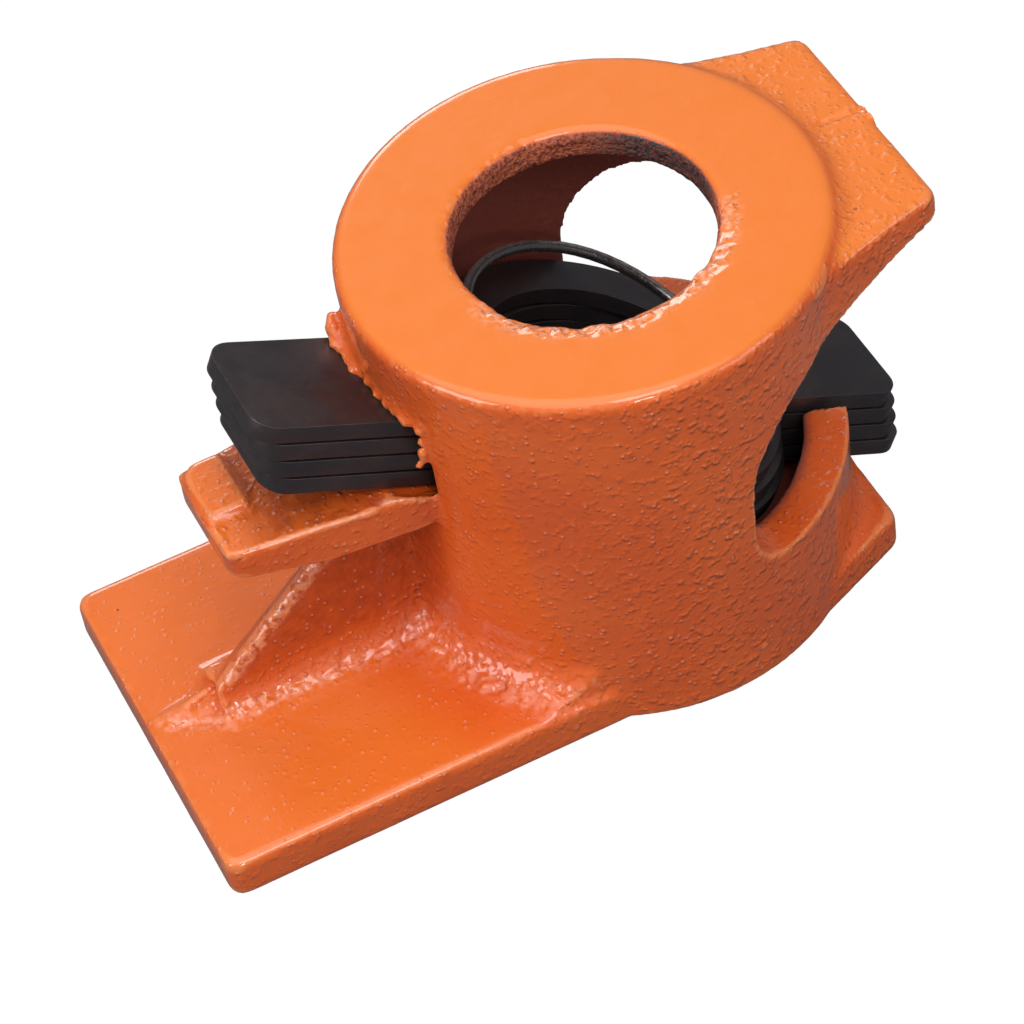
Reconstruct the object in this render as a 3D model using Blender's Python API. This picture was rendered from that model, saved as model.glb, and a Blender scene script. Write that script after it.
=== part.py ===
"""Tail stop of a three-quarter inch pipe clamp, as a mechanical model.

One hollow casting slides on the pipe. Its flat jaw plate meets the work, a
finger ledge stands out over the plate, and a cap with an anvil closes the top.
Four loose clutch plates lean in the casting: they rest on the crest at the
root of the ledge and in the notch of the cup's rim, and a wide spring between
the cap and the top plate keeps them leaning, so that their holes bite the
pipe. Squeezing the long tabs down to the ledge levels them and frees it.

Frame: metres, +Z along the pipe, jaw face down at Z = 0, X along the jaw
plate, and the origin at the middle of the part's footprint.
"""

import math

import bmesh
import bpy
import numpy as np
from mathutils import Matrix, Vector

# Pipe and clutch plates
PIPE_RADIUS = 0.01335
BORE_CLEARANCE = 0.00065
PLATE_HOLE_CLEARANCE = 0.00075
PLATE_BAND = 0.0054
PLATE_THICKNESS = 0.0020
PLATE_COUNT = 4
TAB_WIDTH = 0.0145
TAB_CORNER_RADIUS = 0.0028
NECK_RADIUS = 0.0018
PLATE_EDGE_RADIUS = 0.00035
FINGER_TAB_OVERHANG = 0.0136
NOTCH_TAB_OVERHANG = 0.0055
REST_TILT_DEGREES = 26.2
LEVEL_TURN_DEGREES = 22.0
REST_GAP = 0.0003

# Barrel of the casting
BARREL_WALL = 0.0058
BARREL_DRAFT = 0.0012
CAVITY_CLEARANCE = 0.0012
FLOOR_RISE = 0.0021
CUP_DEPTH = 0.0123
CAP_THICKNESS = 0.00355
RING_SKIRT = 0.0045
RING_EDGE_RADIUS = 0.0013
BORE_EDGE_RADIUS = 0.0012
FOOT_FILLET_RADIUS = 0.0055
NOSE_FILLET_RADIUS = 0.0026

# Jaw plate
JAW_REACH = 0.0590
JAW_WIDTH = 0.0452
JAW_THICKNESS = 0.0054
JAW_EDGE_RADIUS = 0.0009
NOSE_OVERHANG = 0.0005
NOSE_WIDTH = 0.0320

# Crest, finger slot and notch, which carry the plates
CREST_OFFSET = 0.0023
SLOT_RAMP_EXTRA_DEGREES = 2.0
SLOT_SIDE_CLEARANCE = 0.00235
SLOT_CORNER_RADIUS = 0.0014
NOTCH_SIDE_CLEARANCE = 0.0004
NOTCH_FLARE_DEGREES = 30.0
NOTCH_SILL = 0.0007

# Finger ledge, its stop pad and its web
LEDGE_ROOT_WIDTH = 0.0190
LEDGE_END_MARGIN = 0.0016
LEDGE_CORNER_RADIUS = 0.0022
LEDGE_ROOT_THICKNESS = 0.0058
LEDGE_TIP_THICKNESS = 0.0038
LEDGE_EDGE_RADIUS = 0.0008
PAD_LENGTH = 0.0052
PAD_NEAR_SHARE = 0.25
WEB_THICKNESS = 0.0040
WEB_FOOT_INSET = 0.0100
WEB_FOOT_HEIGHT = 0.0032
WEB_FILLET_RADIUS = 0.0038
RIDGE_HALF_WIDTH = 0.0013
RIDGE_INSET = 0.0015
RIDGE_ROOT_HEIGHT = 0.0016
RIDGE_TIP_HEIGHT = 0.0004

# Anvil and the window under it
ANVIL_OVERHANG = 0.0075
ANVIL_TIP_WIDTH = 0.0296
ANVIL_STEP = 0.0016
ANVIL_TIP_THICKNESS = 0.0030
ANVIL_EDGE_RADIUS = 0.0009
ANVIL_LEAVE_DEGREES = 56.0
ANVIL_SIDE_SHARES = ((0.0, 0.0), (0.20, 0.30), (0.42, 0.54), (0.66, 0.76), (1.0, 1.0))
ANVIL_ROOT_SHARE = 0.33
ANVIL_UNDERSIDE_DEGREES = 16.8
WINDOW_EDGE = 0.0048
WINDOW_ARC_RADIUS = 0.0125
WINDOW_CORNER_RADIUS = 0.0042

# Spring
WIRE_RADIUS = 0.00065
SPRING_SEAT = 0.0029
SPRING_START_DEGREES = -170.0
SPRING_PLATE_TURNS = 0.58
SPRING_RISE_TURNS = 0.70
SPRING_CAP_TURNS = 0.75
POINTS_PER_TURN = 10

# Cutters run past what they cut by this much
OVERRUN = 0.0040

# Where one rounded shape runs into a flat one, its arc stops this far short
ARC_STOP_DEGREES = 3.0

ROUND_STEPS = 72
ARC_STEPS = 5
NECK_STEPS = 3
DISC_STEPS = 24
SAME_POINT = 0.000001

# Edges sharper than this are rounded, or stay sharp in the shading
EDGE_DEGREES = 35.0
PLATE_RIM_DEGREES = 60.0
ANVIL_RIM_DEGREES = 50.0

REST_TILT = math.radians(REST_TILT_DEGREES)
LEVEL_TILT = math.radians(REST_TILT_DEGREES - LEVEL_TURN_DEGREES)

bore_radius = PIPE_RADIUS + BORE_CLEARANCE
plate_hole_radius = PIPE_RADIUS + PLATE_HOLE_CLEARANCE
disc_radius = plate_hole_radius + PLATE_BAND
cavity_radius = disc_radius + CAVITY_CLEARANCE
barrel_radius = cavity_radius + BARREL_WALL
plate_pitch = PLATE_THICKNESS + REST_GAP
stack_height = PLATE_COUNT * plate_pitch - REST_GAP

crest_x = -(barrel_radius + CREST_OFFSET)
crest_z = (JAW_THICKNESS + NOTCH_SILL
           + (barrel_radius - crest_x) * math.tan(REST_TILT))
slot_top_z = (crest_z + (REST_GAP + stack_height + REST_GAP) / math.cos(REST_TILT)
              - CREST_OFFSET * math.tan(REST_TILT))
cap_underside_z = slot_top_z + RING_SKIRT
ring_face_z = cap_underside_z + CAP_THICKNESS
floor_z = JAW_THICKNESS + FLOOR_RISE
rim_z = JAW_THICKNESS + CUP_DEPTH
anvil_reach = barrel_radius + ANVIL_OVERHANG
foot_radius = barrel_radius - BARREL_DRAFT
nose_reach = foot_radius + NOSE_OVERHANG
pipe_axis_x = (JAW_REACH - anvil_reach) / 2
shoulder_x = math.sqrt(max(foot_radius ** 2 - (JAW_WIDTH / 2) ** 2, 0)) - JAW_EDGE_RADIUS

finger_tab_reach = FINGER_TAB_OVERHANG - crest_x / math.cos(REST_TILT)
notch_tab_reach = NOTCH_TAB_OVERHANG + barrel_radius / math.cos(REST_TILT)
ledge_tip_x = -finger_tab_reach * math.cos(LEVEL_TILT) - LEDGE_END_MARGIN
pad_inner_x = ledge_tip_x + PAD_LENGTH
pad_height = (crest_x - pad_inner_x) * math.tan(LEVEL_TILT)


def clear_scene():
    """Remove every object of the open file."""
    for old in list(bpy.data.objects):
        bpy.data.objects.remove(old, do_unlink=True)


def make_material(name, colour, roughness, metallic):
    """Return a Principled material with a plain colour."""
    made = bpy.data.materials.new(name)
    made.use_nodes = True
    shader = made.node_tree.nodes["Principled BSDF"]
    shader.inputs["Base Color"].default_value = (*colour, 1.0)
    shader.inputs["Roughness"].default_value = roughness
    shader.inputs["Metallic"].default_value = metallic
    return made


def link_mesh(name, mesh_builder):
    """Turn a finished bmesh into an object of the scene."""
    bmesh.ops.recalc_face_normals(mesh_builder, faces=mesh_builder.faces)
    mesh = bpy.data.meshes.new(name)
    mesh_builder.to_mesh(mesh)
    mesh_builder.free()
    made = bpy.data.objects.new(name, mesh)
    bpy.context.scene.collection.objects.link(made)
    return made


def hide_tool(tool, carrier):
    """Keep a shape that only adds to or cuts another out of sight."""
    tool.hide_render = True
    tool.display_type = "WIRE"
    tool.parent = carrier


def prism(name, outline, low, high, axis="Z"):
    """Extrude a closed outline from low to high along an axis.

    An outline along Z lists (x, y), one along Y (x, z) and one along X (y, z).
    """
    builder = bmesh.new()
    if axis == "Z":
        corners = [builder.verts.new((a, b, low)) for a, b in outline]
        travel = Vector((0, 0, high - low))
    elif axis == "Y":
        corners = [builder.verts.new((a, low, b)) for a, b in outline]
        travel = Vector((0, high - low, 0))
    else:
        corners = [builder.verts.new((low, a, b)) for a, b in outline]
        travel = Vector((high - low, 0, 0))
    face = builder.faces.new(corners)
    grown = bmesh.ops.extrude_face_region(builder, geom=[face])
    moved = [item for item in grown["geom"] if isinstance(item, bmesh.types.BMVert)]
    bmesh.ops.translate(builder, verts=moved, vec=travel)
    return link_mesh(name, builder)


def revolve(name, profile):
    """Turn a closed profile of (radius, z) points about the pipe axis."""
    builder = bmesh.new()
    ring = [builder.verts.new((radius, 0, height)) for radius, height in profile]
    edges = [builder.edges.new((ring[i - 1], ring[i])) for i in range(len(ring))]
    bmesh.ops.spin(builder, geom=ring + edges, cent=(0, 0, 0), axis=(0, 0, 1),
                   angle=math.tau, steps=ROUND_STEPS, use_merge=True)
    bmesh.ops.remove_doubles(builder, verts=builder.verts, dist=SAME_POINT)
    on_axis = [vert for vert in builder.verts if vert.co.xy.length < SAME_POINT]
    axis_edges = [edge for edge in builder.edges
                  if edge.verts[0] in on_axis and edge.verts[1] in on_axis]
    if axis_edges:
        bmesh.ops.delete(builder, geom=axis_edges, context="EDGES")
    return link_mesh(name, builder)


def arc_points(centre, radius, start_degrees, end_degrees, steps=ARC_STEPS):
    """Return points along an arc, both ends included."""
    angles = np.radians(np.linspace(start_degrees, end_degrees, steps + 1))
    return [(centre[0] + radius * math.cos(a), centre[1] + radius * math.sin(a))
            for a in angles]


def rounded_outline(corners):
    """Round a closed outline: each corner is (x, y, radius), radius 0 stays sharp."""
    points = []
    count = len(corners)
    for index, (x, y, radius) in enumerate(corners):
        here = Vector((x, y))
        before = Vector(corners[index - 1][:2])
        after = Vector(corners[(index + 1) % count][:2])
        to_before = (before - here).normalized()
        to_after = (after - here).normalized()
        opening = to_before.angle(to_after)
        room = min((before - here).length, (after - here).length) / 2
        run = min(radius / math.tan(opening / 2), room) if radius else 0
        if not run:
            points.append((x, y))
            continue
        fitted = run * math.tan(opening / 2)
        bisector = (to_before + to_after).normalized()
        centre = here + bisector * (fitted / math.sin(opening / 2))
        first = here + to_before * run - centre
        sweep = first.angle_signed(here + to_after * run - centre)
        for step in range(ARC_STEPS + 1):
            turned = first.copy()
            turned.rotate(Matrix.Rotation(-sweep * step / ARC_STEPS, 2))
            points.append(tuple(centre + turned))
    return points


def mirrored(half):
    """Close an outline that is drawn on the side of negative y only."""
    return half + [(x, -y, radius) for x, y, radius in reversed(half)]


def bevel(target, width, segments=2, angle_degrees=EDGE_DEGREES):
    """Round the sharp edges of a shape."""
    rounding = target.modifiers.new("rounded edges", "BEVEL")
    rounding.width = width
    rounding.segments = segments
    rounding.limit_method = "ANGLE"
    rounding.angle_limit = math.radians(angle_degrees)
    rounding.use_clamp_overlap = True


def combine(target, tool, operation):
    """Join a shape to the target, or cut it away."""
    step = target.modifiers.new(tool.name, "BOOLEAN")
    step.operation = operation
    step.solver = "EXACT"
    step.object = tool


def combine_all(target, tools, operation, carrier):
    """Join several shapes to the target in one step, or cut them all away."""
    group = bpy.data.collections.new(f"{target.name} {operation.lower()}")
    for tool in tools:
        hide_tool(tool, carrier)
        group.objects.link(tool)
    step = target.modifiers.new(group.name, "BOOLEAN")
    step.operation = operation
    step.solver = "EXACT"
    step.operand_type = "COLLECTION"
    step.collection = group


def shade_round(target):
    """Shade curved walls smooth and keep real edges sharp."""
    target.data.shade_smooth()
    target.data.set_sharp_from_angle(angle=math.radians(EDGE_DEGREES))


def jaw_plate_shape():
    """Flat plate with a tapered nose under the barrel's far side."""
    half = [(-JAW_REACH, -JAW_WIDTH / 2, 2 * JAW_EDGE_RADIUS),
            (shoulder_x, -JAW_WIDTH / 2, 0),
            (nose_reach, -NOSE_WIDTH / 2, 2 * JAW_EDGE_RADIUS)]
    plate = prism("jaw plate", rounded_outline(mirrored(half)), 0, JAW_THICKNESS)
    bevel(plate, JAW_EDGE_RADIUS)
    return plate


def barrel_shape():
    """Solid barrel, a little narrower at its foot than at the ring face."""
    foot = arc_points((foot_radius - JAW_EDGE_RADIUS, JAW_EDGE_RADIUS),
                      JAW_EDGE_RADIUS, -90, 0)
    shoulder = arc_points((barrel_radius - RING_EDGE_RADIUS, ring_face_z - RING_EDGE_RADIUS),
                          RING_EDGE_RADIUS, 0, 90)
    return revolve("barrel", [(0, 0)] + foot + shoulder + [(0, ring_face_z)])


def foot_fillet_shape(name, radius, trim_outline):
    """Hollow fillet that carries the barrel's wall out onto the jaw plate."""
    inner = foot_radius - OVERRUN / 2
    outer = foot_radius + radius
    buried_z = JAW_THICKNESS / 2
    sweep = arc_points((outer, JAW_THICKNESS + radius), radius,
                       -90 - ARC_STOP_DEGREES, -180 + ARC_STOP_DEGREES)
    top_z = sweep[-1][1]
    skirt = revolve(name, [(inner, buried_z), (outer, buried_z)] + sweep + [(inner, top_z)])
    trim = prism(f"{name} trim", trim_outline, -OVERRUN, top_z + OVERRUN)
    combine(skirt, trim, "INTERSECT")
    return skirt, trim


def plate_side_trim():
    """Outline that keeps a fillet on the long side of the jaw plate."""
    half_width = JAW_WIDTH / 2 - JAW_EDGE_RADIUS
    reach = foot_radius + FOOT_FILLET_RADIUS + OVERRUN
    end_x = WINDOW_EDGE / 2
    return [(-reach, -half_width), (end_x, -half_width), (end_x, half_width),
            (-reach, half_width)]


def nose_side_trim():
    """Outline that keeps a fillet on the nose of the jaw plate."""
    near_half = JAW_WIDTH / 2 - 2 * JAW_EDGE_RADIUS
    far_x = nose_reach - JAW_EDGE_RADIUS / 2
    far_half = NOSE_WIDTH / 2 - 2 * JAW_EDGE_RADIUS
    return [(shoulder_x, -near_half), (far_x, -far_half), (far_x, far_half),
            (shoulder_x, near_half)]


def ledge_shape():
    """Finger ledge that widens from its tip, with its top level with the crest."""
    root_x = -cavity_radius + OVERRUN
    knee_x = (ledge_tip_x - barrel_radius) / 2
    past_tip_x = ledge_tip_x - OVERRUN
    profile = [(past_tip_x, crest_z), (past_tip_x, crest_z - LEDGE_TIP_THICKNESS),
               (ledge_tip_x, crest_z - LEDGE_TIP_THICKNESS),
               (knee_x, crest_z - LEDGE_ROOT_THICKNESS),
               (root_x, crest_z - LEDGE_ROOT_THICKNESS), (root_x, crest_z)]
    ledge = prism("finger ledge", profile, -LEDGE_ROOT_WIDTH, LEDGE_ROOT_WIDTH, axis="Y")
    half = [(root_x + OVERRUN, -LEDGE_ROOT_WIDTH / 2, 0),
            (-barrel_radius, -LEDGE_ROOT_WIDTH / 2, 0),
            (ledge_tip_x, -TAB_WIDTH / 2, LEDGE_CORNER_RADIUS)]
    plan = prism("ledge plan", rounded_outline(mirrored(half)),
                 crest_z - LEDGE_ROOT_THICKNESS - OVERRUN, crest_z + OVERRUN)
    combine(ledge, plan, "INTERSECT")
    bevel(ledge, LEDGE_EDGE_RADIUS)
    return ledge, plan


def pad_shape():
    """Raised pad at the ledge's tip, where the squeezed tabs stop."""
    inset = LEDGE_EDGE_RADIUS / 2
    half_width = TAB_WIDTH / 2
    outer_x = ledge_tip_x + inset
    outline = [(outer_x, -half_width * PAD_NEAR_SHARE, 0),
               (pad_inner_x, -half_width * PAD_NEAR_SHARE, 0),
               (pad_inner_x, half_width - inset, 0),
               (outer_x, half_width - inset, LEDGE_CORNER_RADIUS)]
    pad = prism("stop pad", rounded_outline(outline),
                crest_z - LEDGE_TIP_THICKNESS / 2, crest_z + pad_height)
    bevel(pad, pad_height / 2)
    return pad


def web_outline():
    """Side view of the web between the barrel, the ledge and the jaw plate."""
    foot_x = -JAW_REACH + WEB_FOOT_INSET
    root_x = -cavity_radius - BARREL_WALL / 2
    buried_z = JAW_THICKNESS / 2
    head_z = crest_z - LEDGE_ROOT_THICKNESS / 2
    return [(foot_x, buried_z), (foot_x, JAW_THICKNESS + WEB_FOOT_HEIGHT),
            (root_x, head_z), (root_x, buried_z)]


def web_shape():
    """Thin web on the casting's middle plane."""
    web = prism("web", web_outline(), -WEB_THICKNESS / 2, WEB_THICKNESS / 2, axis="Y")
    bevel(web, WEB_THICKNESS / 4)
    return web


def web_fillet_shape():
    """Concave foot on both sides of the web."""
    reach = WEB_THICKNESS / 2 + WEB_FILLET_RADIUS
    centre_z = JAW_THICKNESS + WEB_FILLET_RADIUS
    right = arc_points((reach, centre_z), WEB_FILLET_RADIUS,
                       -90 - ARC_STOP_DEGREES, -180 + 2 * ARC_STOP_DEGREES)
    left = [(-y, z) for y, z in reversed(right)]
    buried_z = JAW_THICKNESS / 2
    section = [(-reach, buried_z), (reach, buried_z)] + right + left
    foot_x = -JAW_REACH + WEB_FOOT_INSET - WEB_FILLET_RADIUS / 2
    root_x = -cavity_radius - BARREL_WALL / 2
    return prism("web fillet", section, foot_x, root_x, axis="X")


def ridge_shape():
    """Low ridge that carries the web's line on towards the jaw plate's end."""
    tip_x = -JAW_REACH + RIDGE_INSET
    root_x = -JAW_REACH + WEB_FOOT_INSET + WEB_THICKNESS
    buried_z = JAW_THICKNESS / 2
    outline = [(tip_x, buried_z), (root_x, buried_z),
               (root_x, JAW_THICKNESS + RIDGE_ROOT_HEIGHT),
               (tip_x, JAW_THICKNESS + RIDGE_TIP_HEIGHT)]
    ridge = prism("ridge", outline, -RIDGE_HALF_WIDTH, RIDGE_HALF_WIDTH, axis="Y")
    bevel(ridge, RIDGE_HALF_WIDTH / 2)
    return ridge


def anvil_shape():
    """Cap extension whose waisted sides leave the ring and end in a flat tip."""
    top_z = ring_face_z - ANVIL_STEP
    low_z = rim_z + (cap_underside_z - rim_z) * ANVIL_ROOT_SHARE
    leave_angle = math.radians(ANVIL_LEAVE_DEGREES)
    root_radius = barrel_radius - BARREL_DRAFT / 2
    leave_x = root_radius * math.cos(leave_angle)
    leave_y = root_radius * math.sin(leave_angle)
    span_x = anvil_reach - leave_x
    drop_y = leave_y - ANVIL_TIP_WIDTH / 2
    half = [(leave_x / 2, -leave_y, 0)]
    for along, inward in ANVIL_SIDE_SHARES:
        radius = 2 * ANVIL_EDGE_RADIUS if along == 1 else 0
        half.append((leave_x + along * span_x, -(leave_y - inward * drop_y), radius))
    anvil = prism("anvil", rounded_outline(mirrored(half)), low_z, top_z)
    bevel(anvil, ANVIL_EDGE_RADIUS, angle_degrees=ANVIL_RIM_DEGREES)
    return anvil


def window_cutter():
    """Window right through the barrel, under the anvil and over the cup's rim."""
    slope = math.radians(ANVIL_UNDERSIDE_DEGREES)
    tip_z = ring_face_z - ANVIL_STEP - ANVIL_TIP_THICKNESS
    far_x = anvil_reach + OVERRUN
    far_z = tip_z + (far_x - anvil_reach) * math.tan(slope)
    arc_end_x = WINDOW_EDGE + WINDOW_ARC_RADIUS * (1 - math.sin(slope))
    arc_end_z = tip_z - (anvil_reach - arc_end_x) * math.tan(slope)
    arc_centre = (WINDOW_EDGE + WINDOW_ARC_RADIUS,
                  arc_end_z - WINDOW_ARC_RADIUS * math.cos(slope))
    corner = (WINDOW_EDGE + WINDOW_CORNER_RADIUS, rim_z + WINDOW_CORNER_RADIUS)
    outline = [(far_x, rim_z)]
    outline += arc_points(corner, WINDOW_CORNER_RADIUS, 270, 180)
    outline += arc_points(arc_centre, WINDOW_ARC_RADIUS, 180,
                          90 + ANVIL_UNDERSIDE_DEGREES, 2 * ARC_STEPS)
    outline += [(far_x, far_z)]
    reach = barrel_radius + OVERRUN
    return prism("window", outline, -reach, reach, axis="Y")


def cavity_cutter():
    """Round hollow that holds the plates and the spring."""
    return revolve("cavity", [(0, floor_z), (cavity_radius, floor_z),
                              (cavity_radius, cap_underside_z), (0, cap_underside_z)])


def bore_cutter():
    """Bore for the pipe, with its mouth rounded at the ring face."""
    mouth = arc_points((bore_radius + BORE_EDGE_RADIUS, ring_face_z - BORE_EDGE_RADIUS),
                       BORE_EDGE_RADIUS, 180, 90 + 2 * ARC_STOP_DEGREES)
    outer = mouth[-1][0]
    return revolve("bore", [(0, -OVERRUN), (bore_radius, -OVERRUN)] + mouth
                   + [(outer, ring_face_z + OVERRUN), (0, ring_face_z + OVERRUN)])


def finger_slot_cutter():
    """Slot for the long tabs, whose floor ramps down from the crest."""
    ramp = math.tan(REST_TILT + math.radians(SLOT_RAMP_EXTRA_DEGREES))
    far_x = crest_x - OVERRUN
    near_x = -cavity_radius + OVERRUN
    outline = [(far_x, crest_z + (crest_x - far_x) * ramp),
               (near_x, crest_z - (near_x - crest_x) * ramp),
               (near_x, slot_top_z), (far_x, slot_top_z)]
    half_width = TAB_WIDTH / 2 + SLOT_SIDE_CLEARANCE
    slot = prism("finger slot", outline, -half_width, half_width, axis="Y")
    bevel(slot, SLOT_CORNER_RADIUS)
    return slot


def notch_cutter():
    """Flared notch in the cup's rim, its floor in line with the short tabs."""
    near_x = cavity_radius - OVERRUN
    far_x = anvil_reach + OVERRUN
    near_floor_z = crest_z - (near_x - crest_x) * math.tan(REST_TILT)
    far_floor_z = crest_z - (far_x - crest_x) * math.tan(REST_TILT)
    top_z = rim_z + OVERRUN
    notch = prism("notch", [(near_x, near_floor_z), (far_x, far_floor_z),
                            (far_x, top_z), (near_x, top_z)],
                  -barrel_radius, barrel_radius, axis="Y")
    near_half = TAB_WIDTH / 2 + NOTCH_SIDE_CLEARANCE
    far_half = near_half + (far_x - cavity_radius) * math.tan(math.radians(NOTCH_FLARE_DEGREES))
    half = [(near_x - OVERRUN, -near_half, 0), (cavity_radius, -near_half, 0),
            (far_x + OVERRUN, -far_half, 0)]
    plan = prism("notch plan", rounded_outline(mirrored(half)),
                 far_floor_z - OVERRUN, top_z + OVERRUN)
    combine(notch, plan, "INTERSECT")
    return notch, plan


def build_cast_body(carrier, enamel):
    """Casting: every boss joined into one body, then hollowed and slotted."""
    body = jaw_plate_shape()
    body.name = "cast_body"
    body.data.name = "cast_body"
    body.data.materials.append(enamel)
    skirt, skirt_trim = foot_fillet_shape("foot fillet", FOOT_FILLET_RADIUS,
                                          plate_side_trim())
    toe, toe_trim = foot_fillet_shape("nose fillet", NOSE_FILLET_RADIUS,
                                      nose_side_trim())
    ledge, ledge_plan = ledge_shape()
    notch, notch_plan = notch_cutter()
    for trim in (skirt_trim, toe_trim, ledge_plan, notch_plan):
        hide_tool(trim, carrier)
    bosses = (barrel_shape(), skirt, toe, anvil_shape(), ledge, pad_shape(),
              web_shape(), web_fillet_shape(), ridge_shape())
    cutters = (window_cutter(), cavity_cutter(), bore_cutter(), finger_slot_cutter(), notch)
    combine_all(body, bosses, "UNION", carrier)
    combine_all(body, cutters, "DIFFERENCE", carrier)
    body.parent = carrier
    shade_round(body)
    return body


def plate_outline():
    """Outline of one clutch plate: a round middle with a tab on each side."""
    half = TAB_WIDTH / 2
    neck_centre_y = half + NECK_RADIUS
    neck_centre_x = math.sqrt((disc_radius + NECK_RADIUS) ** 2 - neck_centre_y ** 2)
    touch = math.degrees(math.atan2(neck_centre_y, neck_centre_x))
    near_edge = arc_points((TAB_CORNER_RADIUS - finger_tab_reach, TAB_CORNER_RADIUS - half),
                           TAB_CORNER_RADIUS, 180, 270)
    near_edge += arc_points((-neck_centre_x, -neck_centre_y), NECK_RADIUS,
                            90, touch, NECK_STEPS)
    near_edge += arc_points((0, 0), disc_radius, 180 + touch, 360 - touch,
                            DISC_STEPS)[1:-1]
    near_edge += arc_points((neck_centre_x, -neck_centre_y), NECK_RADIUS,
                            180 - touch, 90, NECK_STEPS)
    near_edge += arc_points((notch_tab_reach - TAB_CORNER_RADIUS, TAB_CORNER_RADIUS - half),
                            TAB_CORNER_RADIUS, 270, 360)
    return near_edge + [(x, -y) for x, y in reversed(near_edge)]


def hole_run(heel_x, tilt):
    """Run along a plate from its heel line to its hole when the hole is on the pipe."""
    middle = REST_GAP + PLATE_THICKNESS / 2
    return (-heel_x - middle * math.sin(tilt)) / math.cos(tilt)


def plate_placing(number):
    """Return the turning point of a plate, and its place in that point's frame.

    Each plate rocks on the crest or on the plate below, and slides on it a
    little, so that its hole is over the pipe both at rest and when level. One
    turn about a point below the contact gives the same two places.
    """
    half_turn = (REST_TILT - LEVEL_TILT) / 2
    mean_tilt = (REST_TILT + LEVEL_TILT) / 2
    rise = (number - 1) * plate_pitch / math.cos(half_turn)
    heel_x = crest_x + rise * math.sin(mean_tilt)
    heel_z = crest_z + rise * math.cos(mean_tilt)
    slide = hole_run(heel_x, REST_TILT) - hole_run(heel_x, LEVEL_TILT)
    depth = slide / (2 * math.sin(half_turn))
    turning_point = (heel_x - depth * math.sin(mean_tilt), 0,
                     heel_z - depth * math.cos(mean_tilt))
    along = hole_run(heel_x, REST_TILT) - depth * math.sin(half_turn)
    place = (along, 0, depth * math.cos(half_turn) + REST_GAP)
    return turning_point, place


def build_clutch_plate(number, carrier, steel):
    """One clutch plate, carried by an empty on its own turning axis."""
    turning_point, place = plate_placing(number)
    fulcrum = add_empty(f"fulcrum {number}", turning_point, carrier)
    fulcrum.rotation_euler = (0, REST_TILT, 0)
    plate = prism(f"clutch_plate_{number}", plate_outline(), 0, PLATE_THICKNESS)
    plate.data.materials.append(steel)
    plate.parent = fulcrum
    plate.location = place
    hole = revolve(f"plate hole {number}",
                   [(0, -OVERRUN), (plate_hole_radius, -OVERRUN),
                    (plate_hole_radius, PLATE_THICKNESS + OVERRUN),
                    (0, PLATE_THICKNESS + OVERRUN)])
    hide_tool(hole, plate)
    combine(plate, hole, "DIFFERENCE")
    bevel(plate, PLATE_EDGE_RADIUS, segments=1, angle_degrees=PLATE_RIM_DEGREES)
    shade_round(plate)
    return plate


def spring_points():
    """Centre line of the spring, from its turn on the top plate to the cap.

    The first end lies on the leaning top plate and the last one under the cap.
    Between them the coil climbs, and its lean lessens as it climbs.
    """
    mean_radius = plate_hole_radius + SPRING_SEAT
    stand_off = WIRE_RADIUS + REST_GAP
    above_heel = REST_GAP + stack_height + stand_off
    low_z = crest_z + (crest_x * math.sin(REST_TILT) + above_heel) / math.cos(REST_TILT)
    low = Vector((0, 0, low_z))
    high = Vector((0, 0, cap_underside_z - stand_off))
    turns = SPRING_PLATE_TURNS + SPRING_RISE_TURNS + SPRING_CAP_TURNS
    count = int(round(turns * POINTS_PER_TURN))
    points = []
    for index in range(count + 1):
        turn = turns * index / count
        climb = min(max((turn - SPRING_PLATE_TURNS) / SPRING_RISE_TURNS, 0), 1)
        tilt = REST_TILT * (1 - climb)
        angle = math.tau * turn + math.radians(SPRING_START_DEGREES)
        across = mean_radius * math.cos(angle)
        points.append(low.lerp(high, climb) + Vector((across * math.cos(tilt),
                                                      mean_radius * math.sin(angle),
                                                      -across * math.sin(tilt))))
    return points


def report_spring_gap(points):
    """Print the least gap between turns, measured on points of the wire."""
    between = 4
    fine = []
    for start, end in zip(points[:-1], points[1:]):
        fine += [start.lerp(end, step / between) for step in range(between)]
    fine = np.array([tuple(point) for point in fine + [points[-1]]])
    half_turn = between * POINTS_PER_TURN // 2
    least = min(np.linalg.norm(fine[i] - fine[j])
                for i in range(len(fine)) for j in range(i + half_turn, len(fine)))
    share_of_wire = (least - 2 * WIRE_RADIUS) / WIRE_RADIUS
    print("least gap of the spring to itself, in metres:", least - 2 * WIRE_RADIUS)
    print("the same in wire radii:", share_of_wire)


def build_spring(carrier, steel):
    """Wide, short compression spring of round wire."""
    points = spring_points()
    report_spring_gap(points)
    curve = bpy.data.curves.new("return_spring", "CURVE")
    curve.dimensions = "3D"
    curve.bevel_depth = WIRE_RADIUS
    curve.bevel_resolution = 1
    curve.use_fill_caps = True
    line = curve.splines.new("POLY")
    line.points.add(len(points) - 1)
    for slot, point in zip(line.points, points):
        slot.co = (*point, 1.0)
    curve.materials.append(steel)
    spring = bpy.data.objects.new("return_spring", curve)
    bpy.context.scene.collection.objects.link(spring)
    spring.parent = carrier
    return spring


def add_empty(name, location, parent=None):
    """Add an empty that places what is parented to it."""
    made = bpy.data.objects.new(name, None)
    bpy.context.scene.collection.objects.link(made)
    made.parent = parent
    made.location = location
    return made


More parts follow.
